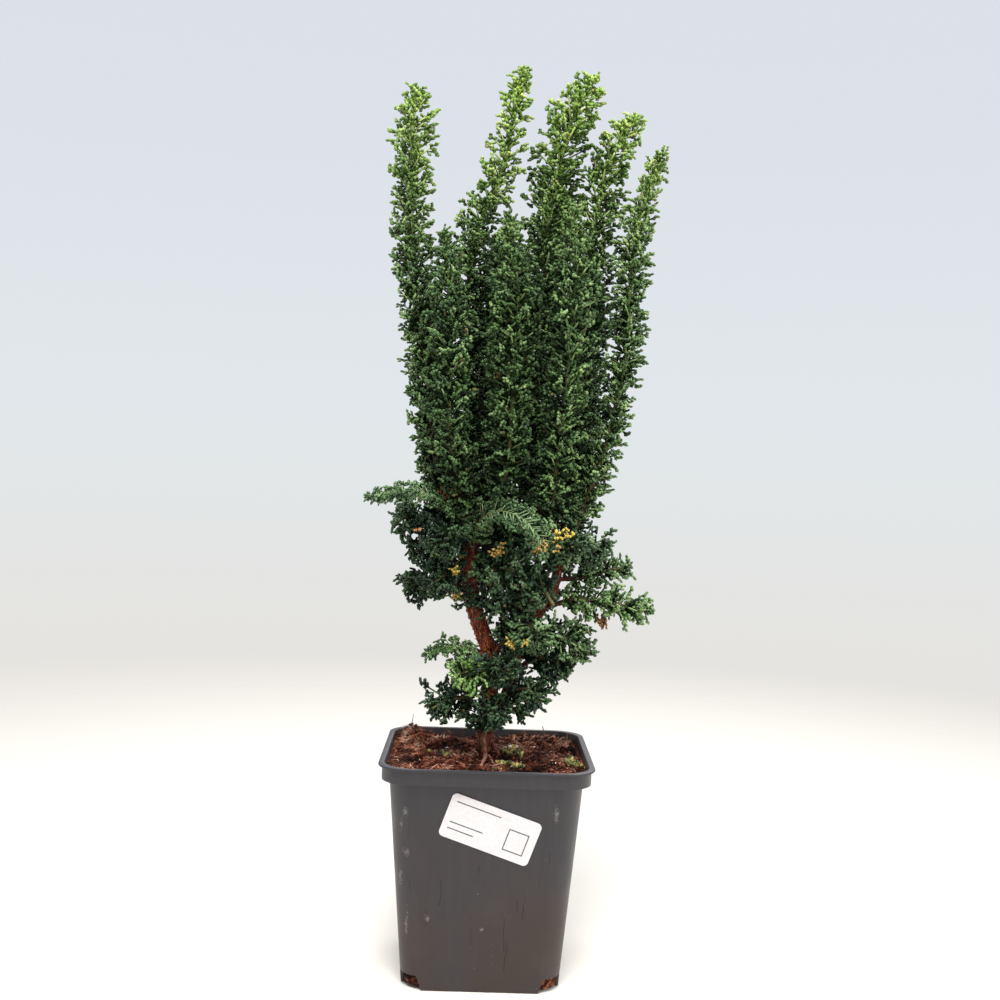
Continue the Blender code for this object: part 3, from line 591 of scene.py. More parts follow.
def crumb_places(rng):
    """Places of loose crumbs all over the peat, then of the clods."""
    places = []
    for _ in range(CRUMB_COUNT):
        x, y = on_soil(rng, margin=1.5)
        size = rng.choice(CRUMB_SIZES)
        spot = Vector((x, y, heaped_height(x, y) + rng.uniform(-0.1, 0.5) * size))
        places.append(Matrix.Translation(spot) @ tumbled(rng) @ Matrix.Scale(size, 4))
    for x, y, size, rise in CLOD_PLACES:
        spot = Vector((x, y, heaped_height(x, y) + 0.4 * size + rise))
        places.append(Matrix.Translation(spot) @ tumbled(rng) @ Matrix.Scale(size, 4))
    return places


def fibre_places(rng):
    """Places of loose fibres, which lie nearly flat."""
    places = []
    for i in range(FIBRE_COUNT):
        x, y = on_soil(rng, margin=4.0)
        rise, length = rng.uniform(-0.2, 0.5), rng.uniform(2, 6.5)
        # Tangled fibres heap up round the larger clods.
        if i % 8 == 0:
            x, y, size, rise = rng.choice(CLOD_PLACES)
            x, y = x + rng.gauss(0, 0.6 * size), y + rng.gauss(0, 0.6 * size)
            length = rng.uniform(1.5, 3.0)
        turn = Matrix.Rotation(rng.uniform(0, 6.3), 4, "Z") @ Matrix.Rotation(
            -abs(rng.gauss(0, 0.35)), 4, "Y")
        spot = Vector((x, y, heaped_height(x, y) + 0.2 + rise))
        places.append(Matrix.Translation(spot) @ turn @ Matrix.Scale(length, 4))
    return places


def perlite():
    """White puffed grains, each a ball with a pitted skin."""
    bm = bmesh.new()
    rng = random.Random("grit")
    grit = [(*on_soil(rng, margin=3.0), rng.uniform(0.25, 0.5)) for _ in range(GRIT_COUNT)]
    for x, y, size in (*PERLITE, *grit):
        made = bmesh.ops.create_icosphere(
            bm, subdivisions=3 if size > 1 else 1, radius=size,
            matrix=Matrix.Translation((x, y, heaped_height(x, y) + 0.6 * size))
            @ Matrix.Diagonal((1, 0.8, 0.6, 1)))["verts"]
        for vert in made:
            vert.co += noise.noise_vector(vert.co * 1.4) * 0.3 * size
    return bm


peat = damp_peat("damp_peat", "0b0502", "3c1c10", "8a543c", 420)
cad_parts["soil"].material_slots[0].material = peat
# Without a seed, vector noise starts from another place in each run.
noise.seed_set(1)
rng = random.Random("peat")
for name, make, places, shades in (
        ("peat_crumbs", crumb, crumb_places(rng), ("0d0502", "4e2416", "a56a50", 240)),
        ("peat_fibres", fibre, fibre_places(rng), ("1e0c06", "753b28", "dfb89e", 150))):
    piece = place_piece(name, scatter([make(rng) for _ in range(KINDS)], places, rng),
                        [damp_peat(name, *shades)])
collar = place_piece("peat_collar", peat_collar(), [peat])
# Perlite: puffed volcanic glass, chalky white, with a little peat dust.
puffed_glass, _, _ = mottled("puffed_perlite", {"Roughness": 0.9}, 900, 3,
                             ((0.38, "a3907e"), (0.55, "ece4d8")))
grains = place_piece("perlite_grains", recalculated(perlite()), [puffed_glass])


def blade(rng):
    """A leaf on a short stalk along X, 1 mm long: a thin pointed oval."""
    bm = bmesh.new()
    bmesh.ops.create_icosphere(bm, subdivisions=2, radius=1)
    for vert in bm.verts:
        vert.co = Vector((0.5 + 0.5 * vert.co.x, 0.17 * vert.co.y * (1.1 - 0.5 * vert.co.x),
                          0.05 * vert.co.z + 0.15 * vert.co.x ** 2 + 0.25 * vert.co.y ** 2))
    return shape_of(bm)


def leaf_at(x, y, lean, length, rng, rise=0.3):
    """Place of a leaf that grows from the peat, leaning out by an angle."""
    turn = Matrix.Rotation(rng.uniform(0, 6.3), 4, "Z") @ Matrix.Rotation(lean, 4, "Y")
    return (Matrix.Translation((x, y, heaped_height(x, y) + rise)) @ turn
            @ Matrix.Scale(length, 4))


# Moss, weeds and seedlings: small living leaves, bright green to yellow, thin and soft.
# All are the same pointed blades, which differ in size, lean and number.
soft_leaf, _, _ = mottled("soft_weed_leaf", {"Roughness": 0.6}, 230, 3, (
    (0.34, "232c16"), (0.46, "566030"), (0.54, "8a8648"), (0.64, "c2a95a")))
rng = random.Random("weeds")
spots = []
for x, y, size in MOSS_PLACES:
    for _ in range(round(MOSS_DENSITY * size)):
        reach, turn = size * math.sqrt(rng.random()), rng.uniform(0, 6.3)
        spots.append(leaf_at(x + reach * math.cos(turn), y + 0.6 * reach * math.sin(turn),
                             rng.uniform(-1.5, -0.5), rng.uniform(1.2, 2.4), rng,
                             0.5 * max(0, size - reach)))
moss = place_piece("moss", scatter([blade(rng) for _ in range(BLADE_KINDS)], spots, rng),
                   [soft_leaf])
spots = []
for x, y, count in LEAF_PLACES:
    spots += [leaf_at(x + rng.gauss(0, 2), y + rng.gauss(0, 2), rng.uniform(-1.1, -0.1),
                      rng.uniform(2.5, 4.5), rng, 1) for _ in range(count)]
for x, y, length in SEEDLINGS:
    spots += [leaf_at(x, y, rng.uniform(-1.35, -0.7), length * rng.uniform(0.6, 1), rng)
              for _ in range(5)]
weeds = place_piece("weeds", scatter([blade(rng) for _ in range(BLADE_KINDS)], spots, rng),
                    [soft_leaf])

# Trunk and second stem: young wood under red-brown bark that splits lengthwise and lifts
# in thin flakes. Each is a ring carried along a smooth path and pushed into ridges, and
# short limbs from its forks carry the leafy stems.
TRUNK = (
    (0, 0, 106), (-1, 0, 122), (-1, -1, 134), (1, -2, 150), (1, -3, 166), (-4, -3, 180),
    (-10, -1, 196), (-13, 0, 212), (-13, 0, 228), (-11, 1, 242),
)
WOOD_RADII = (3.6, 3.3, 3.6, 4.0, 4.1, 4.0, 3.9, 3.8, 3.6, 2.8)
# Roots in red bark that hold the trunk, each with its radii.
HOLDING_ROOTS = (
    (((1.2, -1, 125), (3.6, -2.2, 120), (6, -3, 115.5), (8.5, -4, 111)), (0.9, 1.1, 1.1, 0.9)),
    (((-1.5, 1, 120), (-4.0, 3, 115), (-7.5, 5, 110.5)), (0.9, 1.0, 0.9)),
    (((1, 2, 120), (3, 6, 115), (5, 10, 110.5)), (1.2, 1.3, 1.1)),
)
# A bare root strand and its branch, then dry stalks, each with its radii.
ROOTS = (
    (((1.2, -3.0, 135), (-0.4, -5.0, 129), (-2.2, -6.2, 124), (-1.2, -7.4, 118.5),
      (-0.8, -10, 115.6), (-1.4, -17, 115), (-3, -25, 113.6), (-4, -31, 111)),
     (1.3, 1.3, 1.25, 1.2, 1.05, 0.85, 0.7, 0.5)),
    (((-0.8, -9.5, 116.2), (1.4, -11, 115.6), (3.6, -13, 112.4)), (0.6, 0.5, 0.4)),
    (((-43, 39.5, 116), (-43.3, 40, 122), (-42.6, 40, 127.5)), (0.3, 0.28, 0.2)),
    (((33, 41, 113), (33.4, 41, 118), (32.4, 41, 122.5)), (0.3, 0.25, 0.2)),
    (((45, 36, 112), (45.6, 36, 116), (46.8, 36, 120)), (0.3, 0.25, 0.2)),
)
SECOND_STEM = (
    (-1, -1, 124), (6, 0, 140), (11, -1, 152), (14, -2, 166), (18, -3, 178), (25, -4, 192),
    (31, -5, 201), (34, -5, 211), (36, -3, 222), (38, 0, 236),
)
SECOND_RADII = (3.4, 3.0, 2.8, 2.7, 2.6, 2.5, 2.5, 2.4, 2.3, 1.9)
LEADER_LIMB_RADII = (2.2, 1.6)
SPRAY_LIMB_RADII = (1.6, 1.2)
# Steps along an axis, and between the rings of wood and roots.
AXIS_STEP = 2.0
WOOD_STEP = 1.6
ROOT_STEP = 1.2
KNOT_STEPS = 12
# Upright leafy stems: fork on the wood, axis from its foot to its tip, reach, tip taper.
LEADERS = {
    "leader_left": ((-13, 0, 230), ((-19, -5, 243), (-28, -8, 258), (-35, -8, 284),
        (-38, -6, 312), (-42, -5, 339), (-46, -4, 366), (-50, -4, 393), (-51, -4, 414),
        (-51, -4, 441), (-51, -4, 457), (-51, -4, 479)), 12.5, 26),
    "leader_front_left": ((-12, 0, 234), ((-15, -10, 244), (-19, -19, 258), (-24, -26, 278),
        (-26, -27, 300), (-27, -27, 337), (-28, -27, 362), (-30, -27, 380), (-31, -27, 394)),
        13.5, 22),
    "leader_middle_left": ((-11, 1, 241), ((-10, 7, 253), (-14, 9, 272), (-16, 10, 308),
        (-18, 12, 347), (-18, 12, 375), (-16, 12, 397), (-11, 12, 414), (-5, 12, 428),
        (-1, 12, 442), (2, 12, 460), (5, 12, 477), (8, 12, 494)), 14.0, 90),
    "leader_front_middle": ((-12, 0, 237), ((-3, -9, 247), (3, -17, 259), (6, -23, 280),
        (7, -25, 307), (7, -26, 333), (8, -26, 359), (5, -26, 382), (1, -26, 403)), 15.5, 28),
    "leader_inner": ((-11, 1, 240), ((0, 2, 255), (3, 2, 275), (3, 1, 305), (3, 1, 340),
        (4, 2, 375), (3, 3, 403)), 13.0, 25),
    "leader_highest": ((37, -2, 228), ((23, 8, 249), (20, 12, 272), (20, 16, 310),
        (22, 18, 355), (23, 20, 389), (26, 20, 421), (30, 20, 443), (34, 20, 461),
        (39, 20, 475), (47, 20, 490)), 17.0, 34),
    "leader_right": ((38, 0, 235), ((39, 8, 249), (41, 11, 272), (44, 14, 311), (48, 16, 344),
        (50, 16, 367), (50, 16, 395), (52, 16, 420), (55, 16, 438), (60, 16, 450),
        (65, 16, 459), (71, 16, 468)), 14.5, 34),
    "leader_front_right": ((37, -2, 229), ((32, -9, 240), (31, -17, 257), (33, -21, 290),
        (36, -24, 324), (37, -24, 350), (38, -24, 371), (36, -24, 392), (35, -24, 411)),
        14.5, 28),
    "leader_far_right": ((38, -1, 231), ((44, -4, 238), (49, -4, 255), (57, -4, 277),
        (62, -4, 299), (66, -4, 321), (69, -4, 343), (69, -4, 365), (70, -4, 386),
        (72, -4, 405), (76, -4, 422), (80, -4, 434), (85, -4, 446)), 11.0, 50),
    "leader_back_far_left": ((-12, 1, 237), ((-20, 10, 248), (-28, 20, 261), (-34, 27, 285),
        (-38, 30, 310), (-40, 31, 340), (-41, 31, 362), (-42, 31, 378)), 13.0, 25),
    "leader_back_middle": ((-11, 1, 241), ((-4, 17, 252), (-6, 29, 267), (-6, 36, 300),
        (-5, 38, 340), (-4, 38, 380), (-4, 37, 405)), 14.0, 28),
    "leader_back_right": ((37, -1, 232), ((26, 20, 250), (26, 32, 268), (28, 40, 300),
        (30, 42, 340), (30, 42, 390), (31, 42, 420), (32, 42, 440)), 14.0, 28),
    "leader_back_far_right": ((38, 0, 234), ((43, 18, 248), (47, 30, 263), (49, 38, 290),
        (50, 40, 325), (50, 40, 360), (50, 40, 390), (50, 40, 403)), 13.0, 25),
}

# Side sprays, in the same terms.
SPRAYS = {
    "spray_left_long": ((-13, 0, 226), ((-15, -8, 237), (-20, -16, 246), (-31, -22, 254),
        (-45, -24, 257), (-58, -22, 256), (-70, -20, 253)), 11.0, 34),
    "spray_left_upper": ((-13, 0, 224), ((-19, 3, 231), (-28, 5, 240), (-42, 2, 243),
        (-54, -4, 241)), 16.0, 14),
    "spray_left_dark": ((-13, 0, 214), ((-19, 0, 218), (-28, -2, 224), (-38, -5, 226),
        (-46, -7, 223)), 17.0, 12),
    "spray_left_middle": ((-12, 0, 203), ((-18, -2, 206), (-27, -4, 210), (-38, -5, 208),
        (-48, -5, 203)), 14.0, 12),
    "spray_front_arch": ((-13, 0, 221), ((-11, -8, 229), (-9, -17, 240), (-1, -27, 248),
        (12, -34, 246), (22, -37, 237), (28, -37, 226)), 20.0, 12),
    "spray_front_middle": ((-12, 0, 207), ((-8, -6, 211), (1, -13, 217), (11, -20, 216),
        (21, -23, 209)), 18.0, 10),
    "spray_front_low": ((-11, -1, 195), ((-5, -5, 197), (3, -10, 200), (13, -14, 198),
        (22, -15, 191)), 16.0, 10),
    "spray_front_left": ((-13, 0, 223), ((-17, -7, 228), (-21, -15, 233), (-25, -23, 232),
        (-29, -30, 224)), 16.0, 10),
    "spray_front_right": ((36, -3, 221), ((36, -9, 224), (37, -17, 230), (38, -25, 231),
        (40, -31, 225)), 16.0, 10),
    "spray_left_inner": ((-13, 0, 209), ((-18, -7, 210), (-24, -15, 213), (-29, -21, 211),
        (-33, -25, 205)), 13.0, 9),
    "spray_right_inner": ((30, -5, 200), ((27, -11, 202), (26, -18, 206), (28, -25, 206),
        (32, -30, 200)), 14.0, 9),
    "spray_middle": ((-13, 0, 219), ((-7, 2, 224), (3, 4, 231), (13, 4, 234), (24, 3, 231)),
        17.0, 10),
    "spray_left_small": ((0, -3, 168), ((-5, -7, 170), (-13, -11, 173), (-24, -12, 174),
        (-36, -10, 169)), 9.0, 25),
    "spray_left_bright": ((1, -2, 156), ((-3, -8, 157), (-8, -13, 160), (-14, -17, 161),
        (-20, -19, 158)), 14.0, 8),
    "spray_left_lowest": ((0, -1, 138), ((-7, -4, 141), (-13, -8, 146), (-22, -10, 145),
        (-32, -11, 139)), 15.0, 12),
    "spray_front_trunk": ((2, -2, 160), ((1, -9, 160), (1, -15, 164), (6, -21, 166),
        (13, -24, 160)), 16.0, 8),
    "spray_front_second": ((1, -3, 172), ((5, -9, 175), (9, -12, 181), (15, -14, 182),
        (21, -15, 176)), 16.0, 8),
    "spray_right_low": ((10, -1, 147), ((12, -5, 148), (16, -10, 152), (22, -14, 152),
        (28, -15, 144)), 15.0, 10),
    "spray_right_lowest": ((6, 0, 139), ((11, -1, 138), (15, -2, 140), (22, -4, 138)), 9.0, 7),
    "spray_right_hanging": ((22, -3, 186), ((20, -9, 186), (20, -16, 188), (23, -22, 185),
        (27, -25, 177)), 16.0, 10),
    "spray_right_broad": ((19, -3, 179), ((24, -6, 180), (33, -10, 182), (43, -11, 179),
        (53, -9, 172)), 15.0, 12),
    "spray_right_dark": ((14, -2, 164), ((19, -3, 165), (26, -5, 169), (35, -6, 167),
        (43, -7, 161)), 15.0, 12),
    "spray_right_long": ((31, -5, 199), ((36, -9, 199), (45, -11, 202), (57, -10, 201),
        (70, -9, 199), (88, -8, 196)), 12.0, 20),
    "spray_right_upper": ((35, -4, 212), ((40, -3, 212), (49, -2, 213), (62, -1, 217),
        (76, 0, 220)), 13.0, 26),
    "spray_right_top": ((36, -3, 222), ((41, -7, 226), (47, -11, 230), (54, -13, 230),
        (61, -12, 225)), 16.0, 12),
    "spray_front_base": ((-1, -1, 127), ((1, -8, 131), (-1, -14, 138), (3, -20, 141),
        (9, -24, 137)), 13.0, 7),
    "spray_back_left": ((-13, 0, 229), ((-15, 6, 234), (-18, 18, 242), (-23, 32, 246),
        (-29, 44, 242)), 17.0, 13),
    "spray_back_upper": ((-12, 1, 226), ((-8, 7, 231), (-2, 18, 240), (4, 30, 243),
        (9, 42, 238)), 17.0, 13),
    "spray_back_middle": ((-12, 0, 205), ((-11, 6, 208), (-9, 16, 213), (-5, 29, 215),
        (0, 42, 208)), 17.0, 13),
    "spray_back_right": ((35, -3, 215), ((35, 4, 218), (36, 14, 225), (39, 28, 229),
        (42, 40, 223)), 17.0, 13),
    "spray_back_second": ((26, -4, 193), ((24, 2, 195), (22, 11, 201), (24, 22, 204),
        (30, 34, 198)), 16.0, 11),
    "spray_back_low": ((14, -2, 168), ((14, 4, 170), (15, 13, 175), (17, 25, 176),
        (20, 36, 169)), 16.0, 11),
    "spray_back_lowest": ((1, -2, 152), ((-2, 5, 153), (-6, 12, 157), (-11, 22, 157),
        (-15, 31, 151)), 13.0, 11),
}


def smooth_path(points, step):
    """Evenly spaced points on a smooth curve through the given ones."""
    knots = [Vector(point) for point in points]
    knots = [2 * knots[0] - knots[1], *knots, 2 * knots[-1] - knots[-2]]
    fine = [knots[1]]
    for a, b, c, d in zip(knots, knots[1:], knots[2:], knots[3:]):
        for i in range(1, KNOT_STEPS + 1):
            t = i / KNOT_STEPS
            fine.append(0.5 * (2 * b + (c - a) * t + (2 * a - 5 * b + 4 * c - d) * t * t
                               + (3 * b - a - 3 * c + d) * t ** 3))
    lengths = [0.0]
    for a, b in zip(fine, fine[1:]):
        lengths.append(lengths[-1] + (b - a).length)
    count = max(2, round(lengths[-1] / step))
    even, i = [], 0
    for n in range(count + 1):
        wanted = lengths[-1] * n / count
        while i < len(fine) - 2 and lengths[i + 1] < wanted:
            i += 1
        share = (wanted - lengths[i]) / (lengths[i + 1] - lengths[i])
        even.append(fine[i].lerp(fine[i + 1], share))
    return even


def radii_along(radii, count):
    """Radii given at even stations, read at a number of even points."""
    read = []
    for i in range(count):
        at = i / (count - 1) * (len(radii) - 1)
        low = min(int(at), len(radii) - 2)
        read.append(radii[low] + (radii[low + 1] - radii[low]) * (at - low))
    return read


def roughen(verts, depth):
    """Pushes points in and out in ridges that run along the wood."""
    for vert in verts:
        ridge = noise.noise(Vector((vert.co.x * 0.8, vert.co.y * 0.8, vert.co.z * 0.13)))
        knob = noise.noise(vert.co * 0.22)
        vert.co += vert.normal * (depth * (1.1 * ridge + 0.9 * knob))


def woody_stem(bm, points, radii, sides, step, depth):
    """One round length of wood with ridged bark."""
    path = smooth_path(points, step)
    before = set(bm.verts)
    sweep(bm, places_along(path, radii_along(radii, len(path))), sides)
    made = [vert for vert in bm.verts if vert not in before]
    bmesh.ops.recalc_face_normals(bm, faces=list({f for v in made for f in v.link_faces}))
    bm.normal_update()
    roughen(made, depth)


def surface_roots():
    """The bare strand of root with its branch, and the dry stalks."""
    bm = bmesh.new()
    for path, radii in ROOTS:
        woody_stem(bm, path, radii, 10, ROOT_STEP, depth=0.3 * radii[0])
    return bm


def flake(rng):
    """A thin lifted strip of bark, 1 mm long along Z and facing X."""
    bm = bmesh.new()
    bmesh.ops.create_cube(bm, size=1)
    bmesh.ops.scale(bm, vec=(0.05, 0.22, 1), verts=bm.verts)
    bmesh.ops.subdivide_edges(bm, edges=[e for e in bm.edges if e.calc_length() > 0.9], cuts=2)
    for vert in bm.verts:
        vert.co.x += rng.uniform(0.15, 0.45) * abs(vert.co.z) ** 1.6
        vert.co.y += rng.uniform(-0.05, 0.05)
    return shape_of(bm)


def flake_places(points, radii, count, rng):
    """Places of flakes over a stem, each lifted a little off the bark."""
    path = smooth_path(points, 1.0)
    widths = radii_along(radii, len(path))
    places = []
    while len(places) < count:
        i = rng.randrange(2, len(path) - 2)
        along = direction(path, i)
        out = Matrix.Rotation(rng.uniform(0, 6.3), 3, along) @ along.orthogonal().normalized()
        if path[i].z > SOIL_TOP + 3:
            size = rng.uniform(2.0, 5.5)
            lift = widths[i] + rng.uniform(-0.25, 0.45)
            place = placed(path[i] + out * lift, out * size, along.cross(out) * size,
                           along * size)
            places.append(place @ Matrix.Rotation(rng.uniform(-0.25, 0.25), 4, "Y"))
    return places


def build_wood():
    """Trunk, second stem, the limb of each leafy stem, and the roots that hold the trunk."""
    bm = bmesh.new()
    # The trunk starts down in the peat.
    woody_stem(bm, ((0, 0, 92), *TRUNK), (3.7, *WOOD_RADII), 22, WOOD_STEP, depth=0.75)
    woody_stem(bm, SECOND_STEM, SECOND_RADII, 16, WOOD_STEP, depth=0.45)
    for stems, radii in ((LEADERS, LEADER_LIMB_RADII), (SPRAYS, SPRAY_LIMB_RADII)):
        for fork, axis, _, _ in stems.values():
            foot = Vector(axis[0])
            along = direction(smooth_path(axis, AXIS_STEP), 0)
            woody_stem(bm, (fork, foot - along * 4, foot + along), radii, 8, WOOD_STEP,
                       depth=0.2)
    for path, radii in HOLDING_ROOTS:
        woody_stem(bm, path, radii, 10, ROOT_STEP, depth=0.4)
    return bm


def flaky_bark(name, fresh, weathered):
    """Young cypress bark: dry and matt, foxy red where fresh, grey-brown where weathered."""
    finish, tree, shader = new_finish(name, {"Roughness": 0.88})
    spot = add_node(tree, "TexCoord", {}).outputs["Object"]
    # Fibres of the bark are about 0.6 mm wide and run up the stem.
    stretched = add_node(tree, "Mapping", {"Scale": (1, 1, 0.16), "Vector": spot})
    grain = add_node(tree, "TexNoise", {
        "Scale": 1100, "Detail": 5, "Roughness": 0.65, "Vector": stretched})
    red = add_node(tree, "ValToRGB", {
        "Fac": grain, "stops": tuple(zip((0.3, 0.48, 0.6, 0.75), fresh))})
    grey = add_node(tree, "ValToRGB", {
        "Fac": grain, "stops": tuple(zip((0.32, 0.55, 0.75), weathered))})
    patch = add_node(tree, "TexNoise", {"Scale": 130, "Detail": 3, "Vector": spot})
    worn = add_node(tree, "MapRange", {"From Min": 0.5, "From Max": 0.72, "Value": patch})
    bark = add_node(tree, "Mix", {"data_type": "RGBA", UNDER: red, OVER: grey, SHARE: worn})
    bump = add_node(tree, "Bump", {"Strength": 0.8, "Distance": 0.0006, "Height": grain})
    feed(shader, {"Base Color": bark, "Normal": bump})
    return finish


red_bark = flaky_bark("flaky_red_bark", ("1a0a06", "4e1f12", "843c1e", "b0683c"),
                      ("1f120d", "54352a", "8a6a58"))
wood = place_piece("trunk_wood", recalculated(build_wood()), [red_bark], smooth=50)
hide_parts("trunk")
rng = random.Random("bark")
flake_spots = flake_places(TRUNK, WOOD_RADII, 900, rng)
flake_spots += flake_places(SECOND_STEM, SECOND_RADII, 300, rng)
# Lifted flakes take a lighter, more orange copy of the bark: partly their own colour and partly a
# painted highlight on their raised edges.
flakes = place_piece("bark_flakes", scatter([flake(rng) for _ in range(KINDS)], flake_spots,
                                            rng), [
    flaky_bark("lifted_bark_flakes_painted_highlight", ("2a1009", "6e2c15", "ad5527", "d08a4e"),
               ("2a1a12", "7a4e36", "b08a6c"))])
roots = place_piece("surface_roots", recalculated(surface_roots()), [
    flaky_bark("pale_root_bark", ("2e150d", "6c3d2a", "a06c50", "c09078"),
               ("3a2016", "7e543e", "ae8670"))], smooth=50)

# Leafy stems of hinoki cypress: upright plumes above and side sprays below. Each is a thin
# green-brown shoot set round with flat fronds of blunt, waxy scale leaves, yellow-green and
# knobbly where it still grows, and bluer and finer lower down, where they are darker partly
# with age and partly by painted shade. Painted shade also lies at the foot of each lobe,
# inside each frond and between stems, and painted light at the lobes' tips. A few kinds of
# frond are built once and stamped along each stem's axis.
# Shares of a stem's full reach at its tip and foot.
TIP_SHARE = 0.34
FOOT_SHARE = 0.85
# Steps along a stem between fronds, between clasping leaves and between shaded fans.
LEADER_PITCH = 0.86
SPRAY_PITCH = 0.78
KNUCKLE_PITCH = 1.3
FAN_PITCH = 2.0
FROND_TURN = math.radians(137.5)
FROND_TILT_FOOT = math.radians(62)
FROND_TILT_TIP = math.radians(46)
KNUCKLE_TILT = math.radians(24)
# Fronds are built at these lengths, in three styles: girth of a lobe, distance between
# branchlets, and how far these roll out of the frond's plane.
FROND_SIZES = (4.5, 6.5, 9, 12, 15, 18, 22)
FROND_KINDS = 5
FINE, KNOBBLY, FLAT = (1.25, 3.1, 1.1), (1.4, 3.4, 1.1), (1.05, 2.6, 0.4)
# Branchlets stand at this angle near a frond's foot, and at that much less at its tip.
BRANCHLET_TURN = 56
BRANCHLET_CLOSING = 20
# In girths: length of a branchlet and of the last one, and least length.
BRANCHLET_LENGTH = 6.2
LAST_LENGTH = 5.5
LEAST_LENGTH = 3.0
# A lobe's angle in degrees, and its length and girth, in girths.
LOBE_TURN = (32, 52)
LOBE_LENGTH = (2.3, 2.9)
LOBE_GIRTH = (0.75, 0.95)
TIP_FROND = 6.5
TIP_SINK = 7
SHORTEST_FROND = 4.0
LONGEST_FLAT = 12.0
ROUND_SHOOT = 1.5
FLAT_SHOOT = 0.55
# A frond that runs into its neighbours, the bark or a bare place is tried at these sizes.
SHRINK = (1.0, 0.88, 0.76, 0.64, 0.52, 0.4, 0.28)
# Below this height neighbours interlace, and above it open lanes part the plumes.
LANE_HEIGHT = 290
NEIGHBOUR_REACH = 3.0
LANE_WIDTH = 1.6
# How light a frond's colour is painted deep among its neighbours, as painted shade, and how far
# clear of them that fades.
LANE_LIGHT = 0.12
SPRAY_LIGHT = 0.6
LANE_FADE = 9
# Clear distances from the middle of the wood, above the peat and inside the tree's box.
BARK_CLEAR = 4.0
SOIL_CLEAR = 116.5
BOX_CLEAR = 0.8
BOX_MARGIN = 0.2
# Heights between which fronds grow knobbly, and between which they grow yellow.
GROWING_HEIGHT = (375, 455)
YELLOWING_HEIGHT = (375, 480)
# Below this height dark inner fans are added as painted shade; above it scale leaves clasp the
# shoot.
SHADED_HEIGHT = 370
# How far the foliage stands above its axis, and tips that stand lower or higher than their
# solids, in steps of the axis or in millimetres.
TIP_PROUD = 0.5
TIP_TRIM = {"leader_left": 2, "leader_middle_left": 1}
TIP_RISE = {"leader_highest": 3.5, "leader_right": 3.5}
# The shorter plumes among the others end in slim tips.
SHORT_PLUME = 432
SLIM_TIP = 0.45
SLIM_LENGTH = 55
# Flat fans, with the way each one faces.
FLAT_SPRAYS = {"spray_front_arch": Vector((0.1, -0.8, 0.6)),
               "spray_left_long": Vector((0, -0.5, 0.85)),
               "spray_left_small": Vector((0, -0.6, 0.8))}
# Side sprays painted as if in full light: yellower by this much, as painted light, and their
# neighbours paint no shade on them.
SUNLIT_SPRAYS = {"spray_left_bright": 0.5, "spray_left_small": 0.25, "spray_right_long": 0.3,
                 "spray_right_upper": 0.2, "spray_right_broad": 0.12,
                 "spray_front_arch": 0.1, "spray_left_long": 0.12, "spray_right_hanging": 0.1}
# How light the colour of other stems is painted: under 1 as painted shade, and over 1 as painted
# light where they catch the light.
STEM_LIGHTNESS = {
    "spray_left_dark": 0.0, "spray_left_lowest": 0.35, "spray_front_base": 0.4,
    "spray_front_trunk": 0.5, "spray_right_lowest": 0.4, "spray_right_dark": 0.6,
    "spray_left_middle": 0.1, "spray_front_low": 0.7, "spray_back_left": 0.5,
    "spray_back_lowest": 0.5, "spray_back_low": 0.6, "spray_left_inner": 0.15,
    "spray_right_inner": 0.75, "spray_right_low": 0.8, "spray_middle": 0.8,
    "spray_front_left": 0.4, "spray_left_bright": 1.25, "spray_right_long": 1.2,
    "spray_right_upper": 1.2, "leader_front_left": 0.75, "leader_front_middle": 0.85,
    "leader_inner": 0.8}
# How far apart the fronds of thinner sprays stand, as a share of the usual pitch.
THIN_SPRAYS = {"spray_right_long": 1.45, "spray_right_upper": 1.4, "spray_left_dark": 1.6,
               "spray_front_left": 1.35, "spray_left_middle": 1.4, "spray_left_lowest": 1.45,
               "spray_left_upper": 1.2, "spray_right_top": 1.3}
# Where bare wood shows from the front: middle of each place across and up, and its radius.
BARE_PLACES = ((-12.8, 225, 3.6), (-12.5, 217, 3.4), (-12.4, 209.5, 3.8), (-12, 202, 4.0),
               (-8.3, 193, 4.4), (-4.6, 183.5, 4.6), (-1.6, 175, 4.2), (33.9, 208.7, 3.4),
               (31.4, 202, 3.8), (27.4, 195, 3.8))
BARE_DEPTH = 2.0


def share_between(value, low, high):
    """How far a value has come from one limit to the other, from 0 to 1."""
    return max(0.0, min(1.0, (value - low) / (high - low)))


def leaf_mesh():
    """An empty bmesh with the two layers that the foliage's materials read."""
    bm = bmesh.new()
    # Leaf values: painted shade at a lobe's foot and painted light at its tip, painted shade deep
    # in a frond, random tone, and freshness.
    bm.verts.layers.float_color.new("leaf")
    # Ridge values: bloom lines, partly real wax bloom and partly a painted highlight.
    bm.verts.layers.float.new("ridge")
    return bm


def lobe(bm, root, heading, up, length, girth, depth, tone, lit=True):
    """A blunt lobe of pressed scale leaves: a stretched ball, widest towards its tip.

    A lit lobe is painted lighter at its end, as painted light, with bloom on its ridge that is
    partly a painted highlight. An unlit lobe is painted dark all over, as painted shade.
    """
    leaf, ridge = bm.verts.layers.float_color["leaf"], bm.verts.layers.float["ridge"]
    across = heading.cross(up).normalized()
    place = placed(root + heading * (length / 2), across * girth,
                   across.cross(heading) * (-0.8 * girth), heading * (length / 2))
    made = bmesh.ops.create_uvsphere(bm, u_segments=4, v_segments=2, radius=1,
                                     matrix=place)["verts"]
    for vert in made:
        at = (vert.co - root).dot(heading) / length
        on_ring = 0.1 < at < 0.9
        above = (vert.co - root).dot(up) > 0.3 * girth
        if on_ring:
            vert.co += heading * (0.14 * length)
        # Painted shade at the lobe's foot and painted light at its tip, then its share of painted
        # shade in the frond.
        vert[leaf] = ((0.66 if on_ring else round(at)) if lit else 0.15, depth, tone, 0)
        # Bloom on the upper side of the ring: partly real wax bloom, partly a painted highlight.
        vert[ridge] = 1.0 if on_ring and above and lit else 0.0


